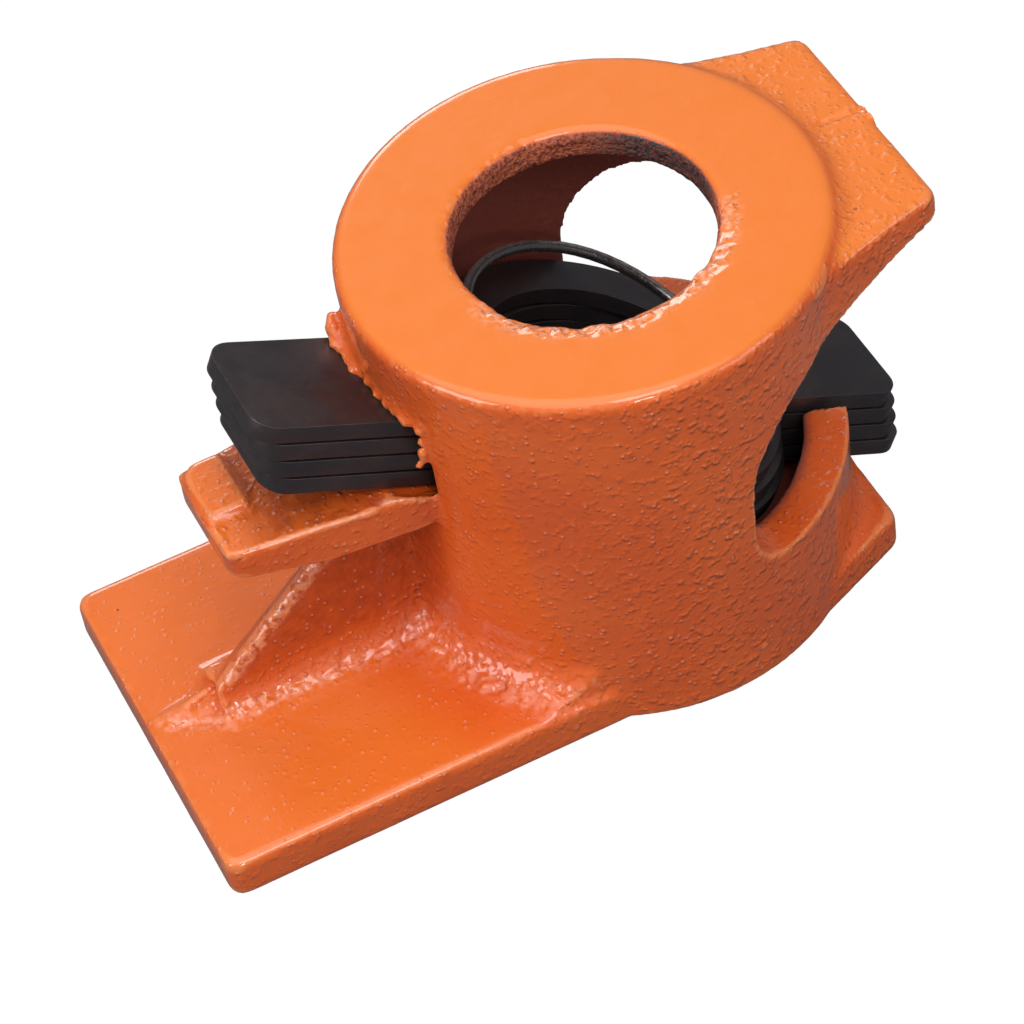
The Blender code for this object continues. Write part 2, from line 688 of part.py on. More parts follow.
def main():
    clear_scene()
    enamel = make_material("orange_enamel", (0.80, 0.16, 0.03), 0.32, 0.0)
    black_oxide = make_material("black_oxide_steel", (0.035, 0.035, 0.038), 0.42, 0.8)
    spring_steel = make_material("black_spring_steel", (0.03, 0.03, 0.03), 0.25, 0.9)
    pipe_axis = add_empty("pipe axis", (pipe_axis_x, 0, 0))
    build_cast_body(pipe_axis, enamel)
    for number in range(1, PLATE_COUNT + 1):
        build_clutch_plate(number, pipe_axis, black_oxide)
    build_spring(pipe_axis, spring_steel)


main()
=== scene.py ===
"""Looks of the tail stop of a pipe clamp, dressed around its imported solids.

The casting gets a soft, sandy skin in thick orange enamel, the four clutch
plates get rolled edges and worn black oxide, and the return spring is wound
again from round wire. Everything is in metres, +Z along the pipe, with the jaw
face down at Z = 0.
"""

import logging
import math
from dataclasses import dataclass, field
from enum import Enum

import bmesh
import bpy
import numpy as np
from bpy.types import Material, Mesh, Node, NodeSocket, NodeTree, Object, bpy_prop_collection
from mathutils import Matrix, Vector, noise


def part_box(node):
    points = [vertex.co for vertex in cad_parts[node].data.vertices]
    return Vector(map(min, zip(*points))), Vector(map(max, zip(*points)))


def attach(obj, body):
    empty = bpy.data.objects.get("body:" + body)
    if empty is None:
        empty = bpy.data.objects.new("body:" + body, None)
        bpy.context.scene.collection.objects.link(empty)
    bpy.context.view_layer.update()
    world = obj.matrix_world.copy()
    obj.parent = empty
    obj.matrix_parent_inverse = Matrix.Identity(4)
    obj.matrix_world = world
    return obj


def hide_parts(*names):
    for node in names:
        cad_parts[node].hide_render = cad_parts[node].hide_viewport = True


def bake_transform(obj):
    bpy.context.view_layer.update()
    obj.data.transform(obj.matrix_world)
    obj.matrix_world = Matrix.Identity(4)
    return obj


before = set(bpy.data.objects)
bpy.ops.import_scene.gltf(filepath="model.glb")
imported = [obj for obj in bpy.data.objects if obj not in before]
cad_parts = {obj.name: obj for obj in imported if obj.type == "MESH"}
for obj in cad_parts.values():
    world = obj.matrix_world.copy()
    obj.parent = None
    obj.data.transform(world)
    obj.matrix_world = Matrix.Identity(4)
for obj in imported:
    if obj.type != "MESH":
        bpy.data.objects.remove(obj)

log = logging.getLogger("tail_stop")

MM = 0.001
SEED = 11
WIRE_MAP = "wire"


class Mask(Enum):
    """Names of the values, from 0 to 1, that a piece's mesh carries for its finish."""

    RIDGE = "ridge"
    HOLLOW = "hollow"
    SAND = "sand"
    INSIDE = "inside"
    BARE = "bare"
    PALE_HIGHLIGHT = "pale"
    SHADE = "shade"
    TOP = "top"
    WEAR = "wear"


class Body(Enum):
    """Bodies of the mechanism that pieces ride on."""

    CASTING = "casting"
    TOP_PLATE = "plate_4"


class Slot(Enum):
    """Material slots of the record."""

    ENAMEL = "orange_enamel"
    OXIDE = "black_oxide_steel"
    WIRE = "black_spring_steel"


@dataclass(frozen=True)
class Layout:
    """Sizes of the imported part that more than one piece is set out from."""

    axis_x: float = 12.5 * MM
    bore_radius: float = 14.0 * MM
    hole_radius: float = 14.1 * MM
    cavity_radius: float = 20.7 * MM
    jaw_thickness: float = 5.4 * MM
    floor_z: float = 7.5 * MM
    crest_x: float = -28.8 * MM
    crest_z: float = 33.311 * MM
    cap_z: float = 47.267 * MM
    ring_z: float = 50.817 * MM
    rest_tilt: float = math.radians(26.2)

    def place(self, x: float, y: float, z: float) -> Vector:
        """Return the point at x, y, z millimetres from the pipe axis at the jaw face."""
        return Vector((self.axis_x + x * MM, y * MM, z * MM))


LAYOUT = Layout()


# Node trees


class Graph:
    """Adds and wires the nodes of one shader or geometry tree."""

    def __init__(self, tree: NodeTree) -> None:
        """Take the tree that the nodes go into."""
        self.tree = tree

    def link(self, start: NodeSocket, end: NodeSocket) -> None:
        """Wire an output to an input."""
        self.tree.links.new(start, end)

    def add(self, kind: str, inputs: dict | None = None, **settings: object) -> Node:
        """Add a node, set it, and fill or wire its inputs.

        Args:
            kind: Blender's name of the node type.
            inputs: Values or sockets by input name or number.
            settings: Attributes of the node.

        Returns:
            The new node.
        """
        node = self.tree.nodes.new(kind)
        for name, value in settings.items():
            setattr(node, name, value)
        return self.fill(node, inputs or {})

    def fill(self, node: Node, inputs: dict) -> Node:
        """Set or wire a node's inputs by name or number, and return the node."""
        for key, value in inputs.items():
            if isinstance(value, NodeSocket):
                self.link(value, node.inputs[key])
            else:
                node.inputs[key].default_value = value
        return node

    def math(self, operation: str, first: object, second: object = 0.0) -> NodeSocket:
        """Return the result of a Math node."""
        return self.add("ShaderNodeMath", {0: first, 1: second}, operation=operation).outputs[0]

    def times(self, first: object, *others: object) -> NodeSocket:
        """Return the product of two or more values."""
        for other in others:
            first = self.math("MULTIPLY", first, other)
        return first

    def plus(self, first: object, second: object) -> NodeSocket:
        """Return the sum of two values."""
        return self.math("ADD", first, second)

    def span(self, value: object, low: float, high: float, to_low: float = 0.0,
             to_high: float = 1.0) -> NodeSocket:
        """Return value carried smoothly from low..high to to_low..to_high, and held there."""
        node = self.add("ShaderNodeMapRange", {"Value": value, "From Min": low, "From Max": high,
                                               "To Min": to_low, "To Max": to_high},
                        interpolation_type="SMOOTHSTEP")
        return node.outputs["Result"]

    def mix(self, share: object, first: object, second: object) -> NodeSocket:
        """Return two colours mixed by a share that changes over the surface."""
        node = self.add("ShaderNodeMix", {0: share, 6: first, 7: second}, data_type="RGBA")
        return node.outputs[2]

    def mask(self, name: Mask) -> NodeSocket:
        """Return a value that the mesh carries."""
        return self.add("ShaderNodeAttribute", attribute_name=name.value).outputs["Fac"]

    def noise(self, where: object, scale: object, detail: float = 2.0,
              roughness: float = 0.5) -> NodeSocket:
        """Return plain noise at a scale in ripples per metre."""
        return self.add("ShaderNodeTexNoise", {"Vector": where, "Scale": scale, "Detail": detail,
                                               "Roughness": roughness}).outputs["Fac"]

    def bump(self, height: object, distance: float) -> NodeSocket:
        """Return the normal that shades a height, which is so many metres at a value of 1."""
        return self.add("ShaderNodeBump", {"Height": height, "Distance": distance,
                                           "Strength": 1.0}).outputs["Normal"]


def shader_group(name: str, takes: dict[str, float], gives: str
                 ) -> tuple[Graph, bpy_prop_collection, NodeSocket]:
    """Start a shader node group.

    Args:
        name: The group's name.
        takes: Its value inputs and their first values. "Vector" is added before them.
        gives: Its value output.

    Returns:
        Its graph, its inputs by name, and the socket that its output goes to.
    """
    tree = bpy.data.node_groups.new(name, "ShaderNodeTree")
    tree.interface.new_socket("Vector", in_out="INPUT", socket_type="NodeSocketVector")
    for label, value in takes.items():
        socket = tree.interface.new_socket(label, in_out="INPUT", socket_type="NodeSocketFloat")
        socket.default_value = value
    tree.interface.new_socket(gives, in_out="OUTPUT", socket_type="NodeSocketFloat")
    graph = Graph(tree)
    return graph, graph.add("NodeGroupInput").outputs, graph.add("NodeGroupOutput").inputs[gives]


def grit_group() -> NodeTree:
    """Return the group for loose grains: low domes in some of the cells of a scatter."""
    graph, takes, end = shader_group("Grit", {"Scale": 800.0, "Share": 0.4, "Size": 0.35},
                                     "Height")
    cells = graph.add("ShaderNodeTexVoronoi", {"Vector": takes["Vector"], "Scale": takes["Scale"]})
    pick = graph.add("ShaderNodeSeparateColor", {0: cells.outputs["Color"]})
    chosen = graph.math("LESS_THAN", pick.outputs[0], takes["Share"])
    size = graph.times(takes["Size"], graph.plus(pick.outputs[1], 0.5))
    near = graph.math("DIVIDE", cells.outputs["Distance"], size)
    graph.link(graph.times(graph.span(near, 1.0, 0.0), chosen), end)
    return graph.tree


def grain_group() -> NodeTree:
    """Return the group for grain: bumps that stand out of a smooth ground, and fine ripple."""
    graph, takes, end = shader_group("Grain", {"Coarse Scale": 700.0, "Ground": 0.3,
                                               "Fine Scale": 2200.0, "Fine Share": 0.35}, "Height")
    coarse = graph.noise(takes["Vector"], takes["Coarse Scale"], 1.0)
    proud = graph.math("SUBTRACT", coarse, takes["Ground"])
    fine = graph.times(graph.noise(takes["Vector"], takes["Fine Scale"]), takes["Fine Share"])
    graph.link(graph.plus(graph.span(proud, 0.0, 0.4), fine), end)
    return graph.tree


def wear_group() -> NodeTree:
    """Return the group for edge wear: the mesh's own wear value, broken up by noise."""
    graph, takes, end = shader_group("Edge wear", {"Wear": 0.0, "Break-up Scale": 900.0,
                                                   "Break-up": 0.5}, "Mask")
    ragged = graph.noise(takes["Vector"], takes["Break-up Scale"], 3.0)
    kept = graph.math("SUBTRACT", takes["Wear"], graph.times(ragged, takes["Break-up"]))
    graph.link(graph.span(kept, 0.0, 0.5), end)
    return graph.tree


class Effects:
    """The shader node groups, each built once and shared by the finishes."""

    def __init__(self) -> None:
        """Build the groups."""
        self.grit = grit_group()
        self.grain = grain_group()
        self.wear = wear_group()

    def use(self, graph: Graph, tree: NodeTree, inputs: dict) -> NodeSocket:
        """Place a group in a material and return its output."""
        return graph.add("ShaderNodeGroup", inputs, node_tree=tree).outputs[0]


def blank_material(name: str) -> tuple[Material, Graph, Node]:
    """Return a new material, its graph and its Principled shader."""
    made = bpy.data.materials.new(name)
    made.use_nodes = True
    return made, Graph(made.node_tree), made.node_tree.nodes["Principled BSDF"]


def start_shape_tree(name: str, takes: dict[str, str]) -> tuple[Graph, bpy_prop_collection]:
    """Start a geometry tree that takes a shape, the named inputs and a finish.

    Args:
        name: The tree's name.
        takes: The kind of each named input.

    Returns:
        Its graph and its inputs by name.
    """
    tree = bpy.data.node_groups.new(name, "GeometryNodeTree")
    for label, kind in {"Geometry": "Geometry", **takes, "Finish": "Material"}.items():
        tree.interface.new_socket(label, in_out="INPUT", socket_type=f"NodeSocket{kind}")
    tree.interface.new_socket("Geometry", in_out="OUTPUT", socket_type="NodeSocketGeometry")
    graph = Graph(tree)
    return graph, graph.add("NodeGroupInput").outputs


def end_shape_tree(graph: Graph, shape: NodeSocket, finish: NodeSocket) -> NodeTree:
    """Make the tree's shape real, put the finish on it, and return the tree."""
    real = graph.add("GeometryNodeRealizeInstances", {"Geometry": shape}).outputs[0]
    dressed = graph.add("GeometryNodeSetMaterial", {"Geometry": real, "Material": finish})
    graph.link(dressed.outputs[0], graph.add("NodeGroupOutput").inputs["Geometry"])
    return graph.tree


def use_shape_tree(thing: Object, tree: NodeTree, values: dict) -> None:
    """Put a geometry tree on an object and set its inputs by their names."""
    modifier = thing.modifiers.new(tree.name, "NODES")
    modifier.node_group = tree
    for socket in tree.interface.items_tree:
        if socket.in_out == "INPUT" and socket.name in values:
            modifier[socket.identifier] = values[socket.name]


# Finishes


@dataclass(frozen=True)
class EnamelFinish:
    """Thick, glossy orange enamel over a sand casting, thin on ridges and deeper where it pools in
    hollows, with painted shade under the plate tabs and beside the web, painted highlights and a
    painted top light.
    """

    colour: tuple = (0.790, 0.128, 0.016, 1.0)
    blotch: tuple = (0.725, 0.102, 0.012, 1.0)
    # painted top light: paler, yellower colour for up-facing faces high on the cap and far from
    # the axis
    level: tuple = (0.850, 0.205, 0.026, 1.0)
    deep: tuple = (0.560, 0.058, 0.007, 1.0)
    # painted shade: darker colour for the ledge top under the plate tabs and the web's sides
    painted_shade: tuple = (0.300, 0.034, 0.006, 1.0)
    thin: tuple = (0.880, 0.270, 0.085, 1.0)
    # painted highlight: pinkish white for glints on grain tips, grit, fillets, the web's edge and
    # the near lip
    painted_highlight: tuple = (0.900, 0.460, 0.340, 1.0)
    pit: tuple = (0.130, 0.030, 0.012, 1.0)
    soot: tuple = (0.240, 0.052, 0.036, 1.0)
    rust: tuple = (0.520, 0.130, 0.058, 1.0)
    iron: tuple = (0.050, 0.042, 0.044, 1.0)
    roughness: float = 0.36
    specular: float = 0.30
    coat: float = 0.85
    coat_roughness: float = 0.09
    relief: float = 0.34 * MM
    blotch_scale: float = 60.0
    ripple_scale: float = 330.0
    gloss_scale: float = 300.0
    speckle_scale: float = 520.0
    sharp_scale: float = 1500.0
    fine_scale: float = 2600.0
    grain: dict = field(default_factory=lambda: {
        "Coarse Scale": 900.0, "Ground": 0.46, "Fine Scale": 1900.0, "Fine Share": 0.12})
    grit: dict = field(default_factory=lambda: {"Scale": 1050.0, "Share": 0.90, "Size": 0.34})
    pits: dict = field(default_factory=lambda: {"Scale": 420.0, "Share": 0.03, "Size": 0.09})

    def bore_wall(self, graph: Graph, where: NodeSocket) -> NodeSocket:
        """Return where the wall of the hole in the cap is, from a point's own place."""
        x, y, z = graph.add("ShaderNodeSeparateXYZ", {0: where}).outputs
        from_axis = graph.math("SUBTRACT", x, LAYOUT.axis_x)
        radius = graph.math("SQRT", graph.plus(graph.times(from_axis, from_axis),
                                               graph.times(y, y)))
        return graph.times(
            graph.span(radius, LAYOUT.bore_radius + 0.65 * MM, LAYOUT.bore_radius + 0.35 * MM),
            graph.span(z, LAYOUT.cap_z - 0.6 * MM, LAYOUT.cap_z),
            graph.span(z, LAYOUT.ring_z - 0.25 * MM, LAYOUT.ring_z - 0.55 * MM))

    def material(self, effects: Effects) -> Material:
        """Build the material.

        Args:
            effects: The shared shader groups.

        Returns:
            The enamel, which reads the casting's masks.
        """
        made, graph, shader = blank_material(Slot.ENAMEL.value + "_finish")
        where = graph.add("ShaderNodeTexCoord").outputs["Object"]
        sand, inside = graph.mask(Mask.SAND), graph.mask(Mask.INSIDE)
        bore = self.bore_wall(graph, where)
        dry = graph.math("MAXIMUM", bore, inside)
        grain = effects.use(graph, effects.grain, {"Vector": where, **self.grain})
        grit = effects.use(graph, effects.grit, {"Vector": where, **self.grit})
        pits = effects.use(graph, effects.grit, {"Vector": where, **self.pits})
        rough = graph.span(sand, 0.15, 1.0, 0.05, 1.0)
        gritty = graph.span(sand, 0.05, 0.4)
        speckle = graph.noise(where, self.speckle_scale)
        sharp = graph.noise(where, self.sharp_scale)
        fine = graph.noise(where, self.fine_scale)

        broad = graph.span(graph.noise(where, self.blotch_scale, 3.0), 0.38, 0.66)
        pooled = graph.times(graph.mask(Mask.HOLLOW), graph.span(speckle, 0.25, 0.75, 0.25, 0.60))
        # Painted shade on the ledge top under the tabs and beside the web, broken up by noise.
        painted_shade_share = graph.times(graph.mask(Mask.SHADE), graph.span(speckle, 0.30, 0.70, 0.45, 0.75))
        worn = effects.use(graph, effects.wear, {
            "Vector": where, "Wear": graph.mask(Mask.RIDGE), "Break-up Scale": 800.0,
            "Break-up": 0.75})
        # Painted highlights: grain tips, grit domes, the pale creases and the near lip are tinted
        # pinkish white, standing in for glints of the lamps.
        tip_highlight = graph.times(graph.span(grain, 0.75, 1.05), rough, 0.40)
        grit_highlight = graph.times(graph.span(grit, 0.45, 0.95), gritty, 0.45)
        ragged = graph.times(graph.mask(Mask.PALE_HIGHLIGHT), graph.span(sharp, 0.42, 0.60), 0.50)
        pale = graph.math("MAXIMUM", graph.math("MAXIMUM", tip_highlight, grit_highlight), ragged)
        sooty = graph.mix(graph.span(fine, 0.42, 0.62), self.rust, self.soot)
        bare = graph.times(graph.mask(Mask.BARE), bore, graph.span(fine, 0.64, 0.46))
        colour = self.colour
        # The top-light share paints up-facing faces paler and yellower, as painted light.
        for share, other in (
                (broad, self.blotch), (graph.mask(Mask.TOP), self.level), (pooled, self.deep),
                (painted_shade_share, self.painted_shade), (graph.times(worn, 0.55), self.thin), (pale, self.painted_highlight),
                (graph.times(pits, 0.8), self.pit), (bore, sooty), (inside, self.soot),
                (bare, self.iron)):
            colour = graph.mix(share, colour, other)

        gloss = graph.span(graph.noise(where, self.gloss_scale), 0.3, 0.7, self.roughness - 0.05,
                           self.roughness + 0.08)
        height = graph.plus(graph.times(grain, rough), graph.times(grit, gritty, 0.40))
        height = graph.plus(height, graph.times(graph.noise(where, self.ripple_scale, 1.0), 0.25))
        height = graph.math("SUBTRACT", height, graph.times(pits, 0.5))
        height = graph.times(height, graph.span(inside, 0.0, 1.0, 1.0, 0.25))
        height = graph.plus(height, graph.times(bore, fine))
        graph.fill(shader, {
            "Base Color": colour, "Roughness": graph.plus(gloss, graph.times(dry, 0.28)),
            "Specular IOR Level": self.specular, "Coat Roughness": self.coat_roughness,
            "Coat Weight": graph.span(dry, 0.0, 1.0, self.coat, 0.05),
            "Normal": graph.bump(height, self.relief)})
        return made


@dataclass(frozen=True)
class OxideFinish:
    """Black oxide on stamped steel, rubbed to bare grey along its rolled edges."""

    colour: tuple = (0.058, 0.053, 0.061, 1.0)
    warm: tuple = (0.086, 0.066, 0.067, 1.0)
    worn: tuple = (0.330, 0.305, 0.300, 1.0)
    metallic: float = 0.75
    roughness: float = 0.38
    relief: float = 0.012 * MM

    def material(self, effects: Effects, number: int) -> Material:
        """Build the material of one plate.

        Args:
            effects: The shared shader groups.
            number: The plate's number from below, which shifts its pattern.

        Returns:
            The oxide, which reads the plate's wear mask.
        """
        made, graph, shader = blank_material(f"{Slot.OXIDE.value}_finish_{number}")
        where = graph.add("ShaderNodeMapping", {
            "Vector": graph.add("ShaderNodeTexCoord").outputs["Object"],
            "Location": (number * 0.31, number * 0.17, 0.0)}).outputs[0]
        cloud = graph.noise(where, 120.0, 4.0, 0.6)
        worn = effects.use(graph, effects.wear, {"Vector": where, "Wear": graph.mask(Mask.WEAR),
                                                 "Break-up Scale": 700.0, "Break-up": 0.7})
        specks = effects.use(graph, effects.grit, {"Vector": where, "Scale": 900.0, "Share": 0.04,
                                                   "Size": 0.14})
        colour = graph.mix(graph.span(cloud, 0.35, 0.70), self.colour, self.warm)
        colour = graph.mix(graph.times(worn, 0.55), colour, self.worn)
        colour = graph.mix(graph.times(specks, 0.5), colour, self.worn)
        rough = graph.span(graph.noise(where, 260.0, 3.0), 0.3, 0.7, self.roughness - 0.08,
                           self.roughness + 0.10)
        grain = effects.use(graph, effects.grain, {"Vector": where, "Coarse Scale": 900.0,
                                                   "Fine Scale": 4200.0, "Fine Share": 0.6})
        graph.fill(shader, {
            "Base Color": colour, "Metallic": self.metallic,
            "Roughness": graph.math("SUBTRACT", rough, graph.times(worn, 0.10)),
            "Normal": graph.bump(grain, self.relief)})
        return made


@dataclass(frozen=True)
class WireFinish:
    """Oiled black spring wire with drawn streaks, a paler outer side and a painted glint along the
    top of its far arc.
    """

    colour: tuple = (0.150, 0.145, 0.143, 1.0)
    streak: tuple = (0.260, 0.250, 0.245, 1.0)
    # pale colour for wear on the outer side and for the painted glint along the top of the far arc
    rubbed: tuple = (0.550, 0.535, 0.520, 1.0)
    metallic: float = 0.85
    roughness: tuple = (0.20, 0.34)
    streaks_round: float = 34.0
    relief: float = 0.006 * MM

    def material(self, effects: Effects) -> Material:
        """Build the material.

        Args:
            effects: The shared shader groups.

        Returns:
            The wire's finish, which reads the wire's own lengthwise map.
        """
        made, graph, shader = blank_material(Slot.WIRE.value + "_finish")
        where = graph.add("ShaderNodeTexCoord").outputs["Object"]
        along = graph.add("ShaderNodeUVMap", uv_map=WIRE_MAP).outputs[0]
        drawn = graph.add("ShaderNodeMapping", {
            "Vector": along, "Scale": (1.0, self.streaks_round, 1.0)}).outputs[0]
        lines = graph.noise(drawn, 3.0)
        # The wear mask carries wear on the outer side and a painted glint on top; both turn the
        # wire paler.
        worn = effects.use(graph, effects.wear, {"Vector": where, "Wear": graph.mask(Mask.WEAR),
                                                 "Break-up Scale": 1500.0, "Break-up": 0.8})
        colour = graph.mix(graph.span(lines, 0.45, 0.75), self.colour, self.streak)
        colour = graph.mix(graph.times(worn, 0.8), colour, self.rubbed)
        grain = effects.use(graph, effects.grain, {"Vector": where, "Coarse Scale": 1800.0,
                                                   "Fine Scale": 5000.0, "Fine Share": 0.5})
        graph.fill(shader, {
            "Base Color": colour, "Metallic": self.metallic,
            "Roughness": graph.span(graph.noise(where, 900.0), 0.3, 0.7, *self.roughness),
            "Normal": graph.bump(graph.plus(grain, lines), self.relief)})
        return made


# Shared meshes


def link(thing: Object) -> Object:
    """Put an object into the scene and return it."""
    bpy.context.scene.collection.objects.link(thing)
    return thing


def mesh_object(name: str, shape: bmesh.types.BMesh) -> Object:
    """Return a scene object with the finished shape, and free the shape."""
    mesh = bpy.data.meshes.new(name)
    shape.to_mesh(mesh)
    shape.free()
    return link(bpy.data.objects.new(name, mesh))


def result(thing: Object) -> Mesh:
    """Return the mesh that an object's modifiers make of it."""
    bpy.context.view_layer.update()
    evaluated = thing.evaluated_get(bpy.context.evaluated_depsgraph_get())
    return bpy.data.meshes.new_from_object(evaluated)


def freeze(piece: Object) -> None:
    """Replace a piece's mesh by what its modifiers make of it."""
    mesh = result(piece)
    piece.modifiers.clear()
    piece.data = mesh
    mesh.name = piece.name


def read_rows(things: bpy_prop_collection, name: str, width: int,
              kind: type = float) -> np.ndarray:
    """Return a value of each thing in a mesh, as rows of so many numbers."""
    flat = np.empty(len(things) * width, kind)
    things.foreach_get(name, flat)
    return flat.reshape(-1, width)


def read_points(mesh: Mesh) -> np.ndarray:
    """Return the mesh's points as rows of x, y, z."""
    return read_rows(mesh.vertices, "co", 3)


def write_points(mesh: Mesh, points: np.ndarray) -> None:
    """Put rows of x, y, z back into the mesh."""
    mesh.vertices.foreach_set("co", points.astype(np.float32).ravel())
    mesh.update()


def read_normals(mesh: Mesh) -> np.ndarray:
    """Return the normal at each point of the mesh."""
    return read_rows(mesh.vertex_normals, "vector", 3, np.float32).astype(float)


def write_mask(mesh: Mesh, name: Mask, values: np.ndarray) -> None:
    """Store a value from 0 to 1 at each point of the mesh."""
    layer = mesh.attributes.new(name.value, "FLOAT", "POINT")
    layer.data.foreach_set("value", np.clip(values, 0, 1).astype(np.float32))


def step(values: np.ndarray, low: float, high: float) -> np.ndarray:
    """Return values carried smoothly from low..high to 0..1. High may be the lesser."""
    share = np.clip((values - low) / (high - low), 0, 1)
    return share * share * (3 - 2 * share)


def step_mm(values: np.ndarray, low: float, high: float) -> np.ndarray:
    """Return the same for values in metres and limits in millimetres."""
    return step(values, low * MM, high * MM)


class Neighbours:
    """Averages over the points that share an edge with each point of a mesh."""

    def __init__(self, mesh: Mesh) -> None:
        """Read the mesh's edges."""
        self.ends = read_rows(mesh.edges, "vertices", 2, np.int32)
        self.size = len(mesh.vertices)
        self.count = np.maximum(np.bincount(self.ends.ravel(), minlength=self.size), 1)

    def mean(self, values: np.ndarray) -> np.ndarray:
        """Return the mean of the neighbours' values, one number for each point."""
        near, far = self.ends[:, 0], self.ends[:, 1]
        total = (np.bincount(near, values[far], self.size)
                 + np.bincount(far, values[near], self.size))
        return total / self.count

    def middle(self, points: np.ndarray) -> np.ndarray:
        """Return the middle of each point's neighbours."""
        return np.stack([self.mean(points[:, axis]) for axis in range(3)], axis=1)

    def smooth(self, values: np.ndarray, rounds: int) -> np.ndarray:
        """Return the values evened out over so many rounds."""
        for _ in range(rounds):
            values = (values + self.mean(values)) / 2
        return values

    def bend(self, points: np.ndarray, normals: np.ndarray) -> np.ndarray:
        """Return how far each point stands proud of its neighbours, in metres."""
        return ((points - self.middle(points)) * normals).sum(axis=1)


# Casting


@dataclass(frozen=True)
class Bead:
    """A run of lumps that the mould or the brush left along a path.

    The points are in millimetres from the pipe axis. Lumps are scattered along
    them, so many to each, with radii and offsets between the two given values.
    """

    path: tuple
    count: int
    radii: tuple = (0.5, 0.9)
    spread: float = 0.4
    push: tuple = (0.0, 0.0, 0.0)
    seed: int = 1
    stretch: float = 1.3


@dataclass(frozen=True)
class Run:
    """A rounded rib that swells and thins along a path.

    The points and the radii at them are in millimetres from the pipe axis.
    """

    path: tuple
    radii: tuple
    spacing: float = 0.5


@dataclass(frozen=True)
class Crease:
    """A line pressed into the skin or raised from it.

    The points are in millimetres from the pipe axis, height is along the skin's
    normal, ragged is how far the skin near the line strays at random, and pale is
    how much painted highlight, a pale pinkish tint, the skin gets there.
    """

    path: tuple
    radius: float
    height: float = 0.0
    ragged: float = 0.0
    scale: float = 400.0
    pale: float = 0.0


def arc(radius: float, z: float, start: float, end: float, steps: int = 12) -> tuple:
    """Return a path round the pipe axis, in millimetres, between two angles in degrees."""
    angles = np.radians(np.linspace(start, end, steps + 1))
    return tuple((radius * math.cos(a), radius * math.sin(a), z) for a in angles)


